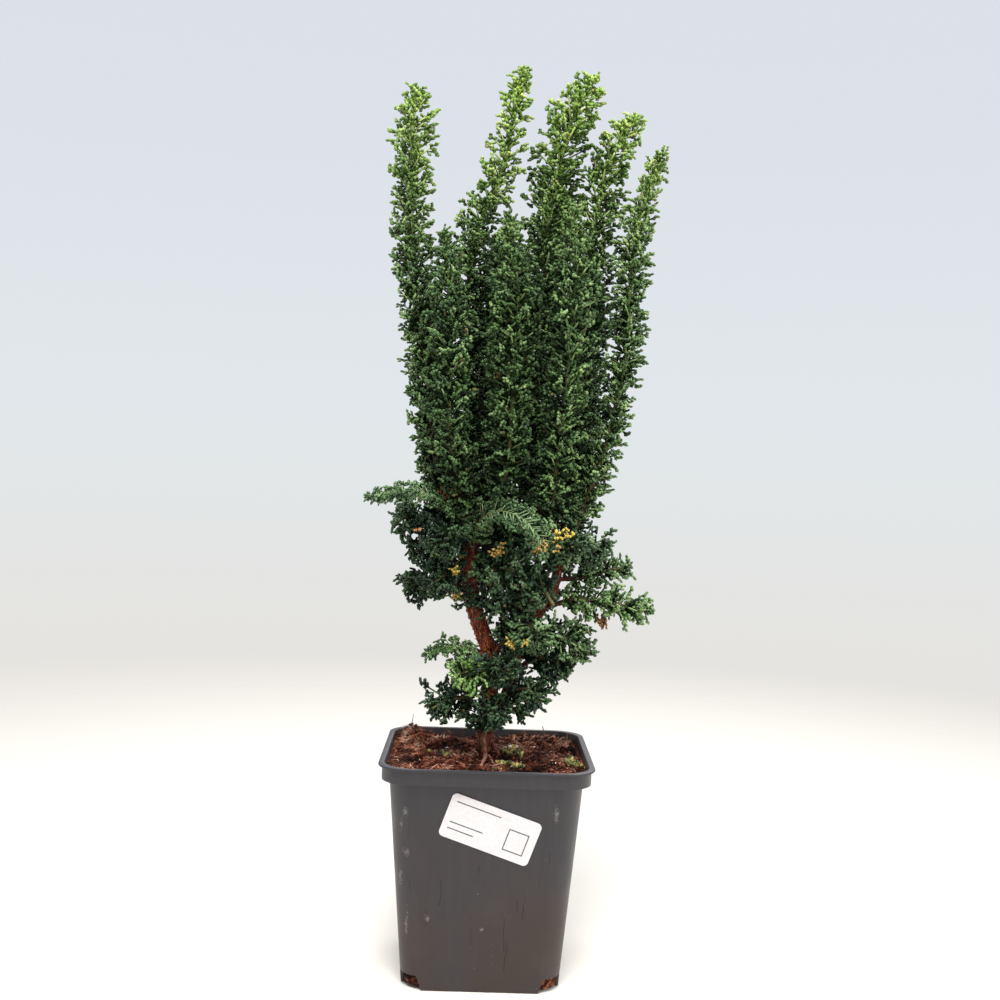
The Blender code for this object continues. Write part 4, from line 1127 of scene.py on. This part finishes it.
def branchlet(bm, rng, root, heading, up, length, girth, depth):
    """A branchlet: a thin spine set with lobes in turn on its two sides and one at its tip."""
    up = Matrix.Rotation(rng.uniform(-0.4, 0.4), 3, heading) @ up
    tone = rng.random()
    # The spine lies under the side lobes and is painted dark, as painted shade.
    lobe(bm, root, heading, up, length - 0.8 * girth, 0.45 * girth, depth=0, tone=tone,
         lit=False)
    count = max(2, round((length - 1.4 * girth) / (1.15 * girth)))
    for i in range(count):
        at = 0.12 + 0.62 * i / (count - 1)
        turn = math.radians(rng.uniform(*LOBE_TURN)) * (1 if i % 2 else -1)
        aim = Matrix.Rotation(rng.uniform(-0.75, 0.75), 3, heading) @ (
            Matrix.Rotation(turn, 3, up) @ heading)
        lobe(bm, root + heading * (at * length), aim, up,
             girth * rng.uniform(*LOBE_LENGTH) * (1.15 - 0.4 * at),
             girth * rng.uniform(*LOBE_GIRTH), depth, (tone + rng.uniform(-0.1, 0.1)) % 1)
    tip = min(2.6 * girth, 0.6 * length)
    lobe(bm, root + heading * (length - tip), heading, up, tip, 0.9 * girth, depth + 0.1, tone)


def frond_shape(length, girth, spacing, spread, rng):
    """A frond along X: branchlets in turn on two sides of a rib, and one at its tip.

    The spread is how far the branchlets roll out of the frond's own plane.
    """
    bm = leaf_mesh()
    up = Vector((0, 0, 1))
    ahead = Vector((1, 0, 0))
    last = min(0.75 * length, LAST_LENGTH * girth)
    sweep(bm, places_along([Vector((x * length, 0, 0)) for x in (0, 0.7)],
                           (0.5 * girth, 0.35 * girth)), sides=3)
    # The end branchlet carries little painted shade.
    branchlet(bm, rng, Vector((length - last, 0, 0)), ahead, up, last, girth, 0.7)
    count = max(1, round((length - last) / spacing)) if length > 6 else 1
    for i in range(count):
        at = ((i + rng.uniform(0.1, 0.6)) / count) * (length - 0.7 * last) / length
        turn = BRANCHLET_TURN - BRANCHLET_CLOSING * at + rng.uniform(-9, 9)
        turn = math.radians(turn) * (1 if i % 2 else -1)
        roll = Matrix.Rotation(rng.uniform(-spread, spread), 3, ahead)
        heading = roll @ Matrix.Rotation(turn, 3, up) @ ahead
        lifted = (heading + roll @ up * rng.uniform(-0.3, 0.35)).normalized()
        level = roll @ up
        level = (level - lifted * level.dot(lifted)).normalized()
        # They are longest a little below the frond's middle.
        reach = min(0.55 * length, BRANCHLET_LENGTH * girth) * (1 - 0.35 * abs(at - 0.4) / 0.6)
        # Branchlets nearer the frond's foot carry more painted shade.
        branchlet(bm, rng, Vector((at * length, 0, 0)), lifted, level,
                  max(LEAST_LENGTH * girth, reach * rng.uniform(0.75, 1.1)), girth,
                  depth=0.25 + 0.6 * at)
    droop, sway = rng.uniform(-0.1, 0.25), rng.uniform(-0.22, 0.22)
    for vert in bm.verts:
        share = vert.co.x / length
        vert.co.z += droop * length * share * share + 0.02 * vert.co.y * vert.co.y
        vert.co.y += sway * length * share * share
    return shape_of(bm)


def knuckle(rng):
    """A few scale leaves that clasp the shoot, as one short branchlet along X."""
    bm = leaf_mesh()
    branchlet(bm, rng, Vector((0, 0, 0)), Vector((1, 0, 0)), Vector((0, 0, 1)),
              length=4.0, girth=1.05, depth=0.5)
    return shape_of(bm)


def shaded_fan(rng):
    """A dark inner frond put as painted shade, 1 mm long along X: a lobed leaf with a low ridge.
    """
    bm = leaf_mesh()
    layer = bm.verts.layers.float_color["leaf"]
    bmesh.ops.create_cone(bm, cap_ends=True, cap_tris=True, segments=14, radius1=0.5,
                          radius2=0, depth=0.12)
    for i, vert in enumerate(sorted(bm.verts, key=lambda v: math.atan2(v.co.y, v.co.x))):
        if vert.co.xy.length > 0.1:
            vert.co.xy *= (1.15 if i % 2 else 0.72) * rng.uniform(0.85, 1.1)
            vert.co.y *= 0.7
        vert.co.x += 0.5
        vert[layer] = (0.0, 0.1, rng.uniform(0, 0.3), 0)
    return shape_of(bm)


def stamp(bm, shape, place, tone, fresh, light=1, finish=0):
    """Adds a copy of a shape to a bmesh, with its own random tone, freshness and painted
    lightness, which scales its painted shade and light.
    """
    copy = shape.copy()
    copy.transform(place)
    layer = copy.attributes["leaf"].data
    tones = np.empty(len(layer) * 4, np.float32)
    layer.foreach_get("color", tones)
    tones = tones.reshape(-1, 4)
    tones[:, 2] = (tones[:, 2] * 0.6 + tone) % 1
    tones[:, 1] *= light
    tones[:, 3] = fresh
    layer.foreach_set("color", tones.ravel())
    if finish:
        copy.polygons.foreach_set("material_index", np.full(len(copy.polygons), finish, np.int32))
    bm.from_mesh(copy)
    bpy.data.meshes.remove(copy)


def stem_radius(at, length, widest, taper):
    """Reach of the foliage from the axis, at a distance from the stem's foot."""
    from_tip = TIP_SHARE + (1 - TIP_SHARE) * min(1.0, (length - at) / taper) ** 0.7
    from_foot = FOOT_SHARE + (1 - FOOT_SHARE) * min(1.0, at / (0.8 * widest))
    return widest * from_tip * from_foot


def tree_of(paths):
    """Search tree over the points of several paths."""
    points = [point for path in paths for point in path]
    found = KDTree(len(points))
    for i, point in enumerate(points):
        found.insert(point, i)
    found.balance()
    return found


def clear_of_all(root, along, size, axis, own, others, proud):
    """Whether a frond keeps near its own stem, above the peat and off the bark."""
    tip = root + along * size
    if (tip - axis[-1]).dot(direction(axis, len(axis) - 1)) > proud:
        return False
    if any(not low + BOX_CLEAR < value < high - BOX_CLEAR
           for value, low, high in zip(tip, *tree_box)):
        return False
    for share in (0.5, 0.75, 1.0):
        point = root + along * (share * size)
        overlap = -LANE_WIDTH if point.z > LANE_HEIGHT else NEIGHBOUR_REACH
        if point.z < SOIL_CLEAR or others.find(point)[2] + overlap < own.find(point)[2]:
            return False
        if bark.find(point)[2] < BARK_CLEAR:
            return False
        if point.y < BARE_DEPTH and any(math.hypot(point.x - x, point.z - z) < radius
                                        for x, z, radius in BARE_PLACES):
            return False
    return True


def pick(shapes, size, rng):
    """The frond shape nearest to a size, with the scale that makes it fit."""
    nearest = min(FROND_SIZES, key=lambda known: abs(known - size))
    return rng.choice(shapes[nearest]), size / nearest


def freshness(height, rng):
    """How young a frond is: green low down, and yellowest at the tips of the highest plumes."""
    high = share_between(height, *YELLOWING_HEIGHT)
    return max(0.0, min(1.0, 0.02 + 0.85 * high ** 1.2 + rng.uniform(-0.08, 0.12)))


def frond_place(root, along, across, scale):
    """Matrix that carries a frond from its own axes to its place."""
    return placed(root, along * scale, across * scale, along.cross(across) * scale)


def bare_shoot(axis, own, upright, facing):
    """The shoot of a stem, greener towards its tip, as a bmesh that takes the foliage."""
    bm = leaf_mesh()
    widest = FLAT_SHOOT if facing else ROUND_SHOOT
    last = len(axis) - 1
    radii = [widest * (1 - 0.45 * i / last) for i in range(last + 1)]
    sweep(bm, places_along(axis, radii), sides=6)
    layer = bm.verts.layers.float_color["leaf"]
    for vert in bm.verts:
        share = own.find(vert.co)[1] / len(axis)
        vert[layer] = (0, share if upright else 0.35 if facing else 0.3 * share, 0.5, 0)
    for face in bm.faces:
        face.material_index = 1
    return bm


def clasp(bm, axis, step, rng):
    """Sets the young part of a shoot with scale leaves, which make it look knuckled."""
    at = KNUCKLE_PITCH
    while at < step * (len(axis) - 1):
        i = min(round(at / step), len(axis) - 2)
        if axis[i].z > SHADED_HEIGHT:
            along = direction(axis, i)
            outward = Matrix.Rotation(rng.uniform(0, 6.3), 3, along) @ along.orthogonal()
            pointing = Matrix.Rotation(KNUCKLE_TILT, 3, outward.normalized()) @ along
            across = pointing.orthogonal().normalized()
            shape, scale = rng.choice(knuckles), rng.uniform(0.8, 1.2)
            stamp(bm, shape, frond_place(axis[i], pointing, across, scale), rng.random(),
                  freshness(axis[i].z, rng))
        at += KNUCKLE_PITCH


def leafy_stem(name, stem, upright):
    """All the foliage of one stem, with its shoot."""
    _, _, widest, taper = stem
    axis = axes[name][:len(axes[name]) - TIP_TRIM.get(name, 0)]
    proud = TIP_RISE.get(name, TIP_PROUD)
    # The stem's painted lightness, and the least lightness painted as shade deep among
    # neighbours.
    light = STEM_LIGHTNESS.get(name, 1)
    least = LANE_LIGHT if upright else 1 if name in SUNLIT_SPRAYS else SPRAY_LIGHT
    facing = FLAT_SPRAYS.get(name)
    rng = random.Random(name)
    own = tree_of([axis])
    others = tree_of(path for other, path in axes.items() if other != name)
    step = (axis[1] - axis[0]).length
    length = step * (len(axis) - 1)
    bm = bare_shoot(axis, own, upright, facing)
    at, count, fan_due = 1.0, 0, 0.0
    turn = rng.uniform(0, 2 * math.pi)
    while at < length - 0.5:
        i = min(round(at / step), len(axis) - 2)
        along = direction(axis, i)
        count += 1
        # A flat fan has fronds on two sides, and any other stem has them all round.
        if facing:
            side = along.cross(facing).normalized() * (1 if count % 2 else -1)
            outward = Matrix.Rotation(rng.uniform(-0.6, 0.6), 3, along) @ side
        else:
            angle = turn + count * FROND_TURN + rng.uniform(-0.35, 0.35)
            outward = Matrix.Rotation(angle, 3, along) @ along.orthogonal().normalized()
        tilt = FROND_TILT_FOOT + (FROND_TILT_TIP - FROND_TILT_FOOT) * (at / length) ** 1.5
        tilt += rng.uniform(-0.15, 0.2)
        reach = stem_radius(at, length, widest, taper)
        if upright and axis[-1].z < SHORT_PLUME:
            reach *= SLIM_TIP + (1 - SLIM_TIP) * min(1.0, (length - at) / SLIM_LENGTH)
        size = reach / math.sin(tilt) * rng.uniform(0.8, 1.08)
        if facing:
            size = min(size, LONGEST_FLAT) * rng.uniform(0.6, 1)
        pointing = (along * math.cos(tilt) + outward * math.sin(tilt)).normalized()
        across = Matrix.Rotation(rng.uniform(-1.57, 1.57), 3, pointing) @ pointing.cross(
            along).normalized()
        # Where a stem still grows its fronds are knobbly and stand further apart.
        growing = share_between(axis[i].z, *GROWING_HEIGHT)
        shapes = knobbly_fronds if rng.random() < 1.6 * growing else fine_fronds
        if facing:
            shapes = flat_fronds
            across = (pointing.cross(facing) + across * 0.5).normalized()
            across = (across - pointing * across.dot(pointing)).normalized()
        root = axis[i] + along * rng.uniform(-0.5, 0.5)
        tried = next((size * shrink for shrink in SHRINK if size * shrink > SHORTEST_FROND
                      and clear_of_all(root, pointing, size * shrink, axis, own, others,
                                       proud)), None)
        if tried:
            tip = root + pointing * tried
            # A frond whose tip lies among neighbouring stems is painted darker, as painted shade,
            # fading as it clears them.
            open_side = others.find(tip)[2] - own.find(tip)[2]
            shade = least + (1 - least) * share_between(open_side, 0, LANE_FADE)
            shape, scale = pick(shapes, tried, rng)
            stamp(bm, shape, frond_place(root, pointing, across, scale), rng.random(),
                  max(SUNLIT_SPRAYS.get(name, 0), freshness(tip.z, rng)), light * shade)
            # Low down, a dark inner fan behind the frond fills the foliage as painted shade.
            if at >= fan_due and root.z < SHADED_HEIGHT and not facing:
                stamp(bm, rng.choice(shaded_fans),
                      frond_place(root - across, pointing, across, 0.7 * tried),
                      tone=rng.random(), fresh=0, finish=2)
                fan_due = at + FAN_PITCH
        at += (LEADER_PITCH * (1 + 0.55 * growing) if upright
               else SPRAY_PITCH * THIN_SPRAYS.get(name, 1))
    if upright:
        clasp(bm, axis, step, rng)
    # One more frond ends the stem.
    along = direction(axis, len(axis) - 1)
    shape, scale = pick(knobbly_fronds if upright else fine_fronds, TIP_FROND, rng)
    place = frond_place(axis[-1] + along * (proud - TIP_SINK), along,
                        along.orthogonal().normalized(), scale)
    stamp(bm, shape, place, rng.random(), freshness(axis[-1].z, rng))
    for vert in bm.verts:
        for i, (low, high) in enumerate(zip(*tree_box)):
            vert.co[i] = max(low + BOX_MARGIN, min(high - BOX_MARGIN, vert.co[i]))
    return bm


def scale_foliage(name, old_stops, young_stops, bloom_and_highlight):
    """Scale leaves under a thin wax: satin, with painted shade in their folds and deep in each
    frond, and painted light at blunt tips.

    Pale bloom lies in fine lines along the ridges, partly real wax bloom and partly a painted
    highlight. Young leaves are yellower.
    """
    finish, tree, shader = new_finish(name, {
        "Roughness": 0.5, "IOR": 1.45, "Specular IOR Level": 0.32})
    spot = add_node(tree, "TexCoord", {}).outputs["Object"]
    leaf = add_node(tree, "Attribute", {"attribute_name": "leaf"})
    ridge = add_node(tree, "Attribute", {"attribute_name": "ridge"}).outputs["Fac"]
    parts = add_node(tree, "SeparateColor", {0: leaf})
    along, depth, tone = parts.outputs
    # Branchlets differ in tone over about 8 mm, and single leaves over about 1 mm.
    level = add_node(tree, "TexNoise", {"Scale": 120, "Detail": 2, "Vector": spot})
    speck = add_node(tree, "TexNoise", {"Scale": 900, "Detail": 2, "Vector": spot})
    # The level adds painted light at a lobe's tip, its random tone, and painted shade deep in a
    # frond and among neighbours.
    for part, weight in ((along, 0.26), (tone, 0.2), (depth, 0.5)):
        level = add_node(tree, "Math", {
            "operation": "MULTIPLY_ADD", 0: part, 1: weight, 2: level})
    level = add_node(tree, "MapRange", {"From Min": 0.5, "From Max": 1.4, "Value": level})
    old = add_node(tree, "ValToRGB", {"Fac": level, "stops": old_stops})
    young = add_node(tree, "ValToRGB", {"Fac": level, "stops": young_stops})
    colour = add_node(tree, "Mix", {
        "data_type": "RGBA", UNDER: old, OVER: young, SHARE: leaf.outputs["Alpha"]})
    # Bloom lines along the upper ridges: partly real wax bloom, partly a painted highlight.
    line = add_node(tree, "MapRange", {"From Min": 0.55, "From Max": 0.95, "Value": ridge})
    patchy = add_node(tree, "MapRange", {"From Min": 0.45, "From Max": 0.7, "To Max": 0.5,
                                         "Value": speck})
    bloom_and_highlight_share = add_node(tree, "Math", {"operation": "MULTIPLY", 0: line, 1: patchy})
    # A few fingers end in rusty scales.
    few = add_node(tree, "MapRange", {
        "From Min": 0.986, "From Max": 0.99, "To Max": 0.7, "Value": tone})
    rusty = add_node(tree, "Math", {"operation": "MULTIPLY", 0: few, 1: along})
    for share, code in ((bloom_and_highlight_share, bloom_and_highlight), (rusty, "6b4a2a")):
        colour = add_node(tree, "Mix", {
            "data_type": "RGBA", UNDER: colour, OVER: code, SHARE: share})
    bump = add_node(tree, "Bump", {"Strength": 0.3, "Distance": 0.0002, "Height": speck})
    gloss = add_node(tree, "MapRange", {"To Min": 0.42, "To Max": 0.62, "Value": speck})
    feed(shader, {"Base Color": colour, "Roughness": gloss, "Normal": bump})
    return finish


# Young twig bark: brown where it has ripened near the wood, olive to yellow-green beyond.
twig_bark, tree, shader = new_finish("ripening_twig_bark", {"Roughness": 0.7})
spot = add_node(tree, "TexCoord", {}).outputs["Object"]
scales = add_node(tree, "TexNoise", {"Scale": 700, "Detail": 3, "Vector": spot})
parts = add_node(tree, "SeparateColor", {
    0: add_node(tree, "Attribute", {"attribute_name": "leaf"})})
ripe = add_node(tree, "Math", {
    "operation": "MULTIPLY_ADD", 0: scales, 1: 0.5, 2: parts.outputs["Green"]})
shade = add_node(tree, "ValToRGB", {"Fac": ripe, "stops": (
    (0.25, "4a2a1a"), (0.5, "504e26"), (0.8, "567034"), (1.0, "7f9c48"))})
bump = add_node(tree, "Bump", {"Strength": 0.5, "Distance": 0.0004, "Height": scales})
feed(shader, {"Base Color": shade, "Normal": bump})

fresh_foliage = scale_foliage(
    "fresh_scale_foliage",
    ((0.0, "071004"), (0.35, "18290f"), (0.65, "36532a"), (1.0, "7d9761")),
    ((0.0, "24380f"), (0.4, "4f6f25"), (0.75, "7f9c41"), (1.0, "b5c069")), "8fa884")
deep_foliage = scale_foliage(
    "deep_scale_foliage",
    ((0.0, "060e07"), (0.35, "18291a"), (0.68, "364e30"), (1.0, "738b65")),
    ((0.0, "2c4a1e"), (0.4, "4f7a30"), (0.75, "78a046"), (1.0, "a0ba64")), "9fb39c")
# Inner foliage: matt and nearly black-green as painted shade, with brown dead scales.
shaded_foliage, _, _ = mottled(
    "shaded_scale_foliage", {"Roughness": 0.95, "Specular IOR Level": 0.1}, 700, 3,
    ((0.3, "070d06"), (0.5, "13200f"), (0.65, "203418"), (0.8, "33281a")))
axes = {name: smooth_path(stem[1], AXIS_STEP) for name, stem in {**LEADERS, **SPRAYS}.items()}
bark = tree_of([smooth_path(TRUNK, AXIS_STEP), smooth_path(SECOND_STEM, AXIS_STEP)])
tree_box = [corner / MM for corner in cad_box]
rng = random.Random("fronds")
fine_fronds, knobbly_fronds, flat_fronds = (
    {size: [frond_shape(size, girth, spacing, spread, rng) for _ in range(FROND_KINDS)]
     for size in FROND_SIZES}
    for girth, spacing, spread in (FINE, KNOBBLY, FLAT))
knuckles = [knuckle(rng) for _ in range(FROND_KINDS)]
shaded_fans = [shaded_fan(rng) for _ in range(FROND_KINDS)]
for stems, finish, slot, upright in ((LEADERS, fresh_foliage, "fresh_green_foliage", True),
                                     (SPRAYS, deep_foliage, "deep_green_foliage", False)):
    for name, stem in stems.items():
        piece = place_piece("leafy_" + name, leafy_stem(name, stem, upright),
                            [finish, twig_bark, shaded_foliage])
        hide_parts(name)


def loose_fronds(places, rng):
    """Single fronds, each given by its foot, the way it points, its length and freshness."""
    bm = leaf_mesh()
    for foot, pointing, size, fresh in places:
        pointing = Vector(pointing).normalized()
        across = pointing.cross(Vector((rng.uniform(-0.4, 0.4), -1, 0.3))).normalized()
        shape, scale = pick(fine_fronds, size, rng)
        # Each loose frond is painted at half lightness, as painted shade.
        stamp(bm, shape, frond_place(Vector(foot), pointing, across, scale), rng.random(),
              fresh, light=0.5)
    return bm


# Short shoots that break straight from the trunk: one group crosses it, and the rest hide
# its foot. They are single fronds of the same scale leaves as the side sprays.
rng = random.Random("trunk shoots")
spots = [((-6, -5, 201), (-1, -0.45, 0.1), 16, 0), ((-7, -5, 203), (-1, -0.5, -0.3), 16, 0),
         ((-5, -5, 199), (-1, -0.7, -0.1), 12, 0), ((-8, -4, 199), (0.5, -0.9, -0.2), 10, 0),
         ((-9, -4, 200), (-0.9, -0.3, -0.5), 14, 0), ((-8, -4, 204), (-1, -0.4, 0.4), 11, 0)]
for height in range(134, 170, 4):
    spots.append(((rng.uniform(-3, 3), -3.5, height),
                  (rng.uniform(-1, 1), -0.8, rng.uniform(-0.5, 0.3)), rng.uniform(7, 10), 0))
shoots = place_piece("trunk_shoots", loose_fronds(spots, rng), [deep_foliage])

# Sprigs that have died but still hang among the green: golden while fresh, then
# orange-brown, dry and dull. Each is a few short fronds that point at the open front.
# Place, number of fronds, and age from golden at 0 to brown at 1.
DEAD_SPRIGS = (
    (4.6, -28, 230.5, 2, 0.45), (2.0, -26, 227.5, 2, 0.55), (33.7, -37.5, 235.7, 3, 0.0),
    (37.0, -38.5, 238.0, 3, 0.0), (31.0, -37, 231.5, 2, 0.5), (23.2, -42, 232, 2, 0.5),
    (21.8, -40, 227, 2, 0.6), (-18.5, -8, 224.5, 3, 0.3), (-19.6, -24, 214.5, 3, 0.1),
    (-22.0, -12, 202.5, 3, 0.0), (-18.5, -12, 201, 2, 0.2), (25.4, -14, 209.6, 2, 0.2),
    (12.2, -25, 178.4, 2, 0.15), (16.6, -32.5, 181, 1, 0.3), (-27.1, -17, 257.5, 3, 0.9),
    (-26.5, -17.5, 254.5, 2, 1.0), (-19.6, -12, 252.5, 2, 0.9), (-41.2, -28.5, 236.5, 1, 0.95),
    (59.0, -9, 189.8, 4, 0.95), (61.0, -8, 188, 2, 1.0), (-3.5, -8, 147.5, 3, 0.7),
    (10.0, -9, 142.5, 3, 0.4), (12.4, -6, 141.8, 2, 0.5))
rng = random.Random("dead sprigs")
spots = []
for x, y, z, count, age in DEAD_SPRIGS:
    spots += [((x + rng.gauss(0, 0.8), y + 2.5, z + rng.gauss(0, 0.8)),
               (rng.uniform(-1, 1), -1, rng.uniform(-0.9, 0.9)), rng.uniform(3, 4.8), age)
              for _ in range(count)]
# Dead scale leaves: matt, with painted shade at the foot of each lobe, and paler at its dry end,
# partly its own colour and partly painted light.
dead_foliage, tree, shader = new_finish("dead_scale_foliage", {"Roughness": 0.75})
leaf = add_node(tree, "Attribute", {"attribute_name": "leaf"})
along = add_node(tree, "SeparateColor", {0: leaf}).outputs["Red"]
golden = add_node(tree, "ValToRGB", {"Fac": along, "stops": (
    (0.0, "3f3a10"), (0.5, "8f7a28"), (1.0, "cdb452"))})
brown = add_node(tree, "ValToRGB", {"Fac": along, "stops": (
    (0.0, "24140b"), (0.5, "643a20"), (1.0, "99653c"))})
feed(shader, {"Base Color": add_node(tree, "Mix", {
    "data_type": "RGBA", UNDER: golden, OVER: brown, SHARE: leaf.outputs["Alpha"]})})
sprigs = place_piece("dead_sprigs", loose_fronds(spots, rng), [dead_foliage])
# The shapes have all been stamped by now.
for shapes in (*fine_fronds.values(), *knobbly_fronds.values(), *flat_fronds.values(),
               knuckles, shaded_fans):
    for shape in shapes:
        bpy.data.meshes.remove(shape)

# Pale matt floor that fades into the light backdrop: a plain round sheet just under the
# pot, under soft daylight from three large panels. Sizes from here on are in metres.
FLOOR_RADIUS = 1.6
FLOOR_DROP = 0.0003
LIT_PLACE = Vector((0, 0, 0.22))
bm = bmesh.new()
bmesh.ops.create_circle(bm, cap_ends=True, segments=96, radius=FLOOR_RADIUS)
mesh = bpy.data.meshes.new("pale_floor")
bm.to_mesh(mesh)
bm.free()
floor = bpy.data.objects.new("pale_floor", mesh)
floor.location.z = -FLOOR_DROP
bpy.context.scene.collection.objects.link(floor)
matt_paint, tree, shader = new_finish("pale_matt_floor", {
    "Roughness": 0.8, "Base Color": "ded8ce"})
spot = add_node(tree, "TexCoord", {}).outputs["Object"]
reach = add_node(tree, "VectorMath", {"operation": "LENGTH", 0: spot})
feed(shader, {"Alpha": add_node(tree, "MapRange", {
    "From Min": 0.25, "From Max": 1.2, "To Min": 1, "To Max": 0, "Value": reach})})
mesh.materials.append(matt_paint)

world = bpy.data.worlds.new("pale_backdrop")
bpy.context.scene.world = world
world.use_nodes = True
tree = world.node_tree
up = add_node(tree, "SeparateXYZ", {
    0: add_node(tree, "TexCoord", {}).outputs["Generated"]}).outputs["Z"]
level = add_node(tree, "MapRange", {"From Min": -1, "From Max": 1, "Value": up})
feed(tree.nodes["Background"], {"Strength": 0.86, "Color": add_node(tree, "ValToRGB", {
    "Fac": level, "stops": ((0.42, "f6f3ee"), (0.52, "f1f7fa"), (0.66, "ebf0fa"))})})

# Panels: name, place, width and power in watts.
for name, place, size, power in (("key_panel", (-0.08, -0.7, 1.5), 0.6, 35),
                                 ("fill_panel", (1.0, -0.7, 0.7), 1.0, 10),
                                 ("back_panel", (0.3, 1.0, 1.1), 0.9, 7)):
    light = bpy.data.lights.new(name, "AREA")
    light.size = size
    light.energy = power
    panel = bpy.data.objects.new(name, light)
    panel.location = place
    panel.rotation_euler = (LIT_PLACE - Vector(place)).to_track_quat("-Z", "Y").to_euler()
    bpy.context.scene.collection.objects.link(panel)

bpy.context.scene.view_settings.view_transform = "Standard"

# Camera at the photograph's height and angle, fitted to the pot's rim, band and foot. It
# leans a little to one side, as the photograph does.
CAMERA_PLACE = Vector((-0.007095, -0.681109, 0.264409))
YAW, PITCH, ROLL = (math.radians(angle) for angle in (0.814, 0.905, 1.964))
SENSOR_WIDTH = 36
LENS = 44.907
forward = Vector((math.sin(YAW) * math.cos(PITCH), math.cos(YAW) * math.cos(PITCH),
                  -math.sin(PITCH)))
right = Vector((math.cos(YAW), -math.sin(YAW), 0))
above = right.cross(forward)
right, above = (math.cos(ROLL) * right + math.sin(ROLL) * above,
                math.cos(ROLL) * above - math.sin(ROLL) * right)
camera = bpy.data.objects.new("camera", bpy.data.cameras.new("camera"))
camera.data.sensor_width = SENSOR_WIDTH
camera.data.lens = LENS
camera.matrix_world = placed(CAMERA_PLACE, right, above, -forward)
bpy.context.scene.collection.objects.link(camera)
bpy.context.scene.camera = camera
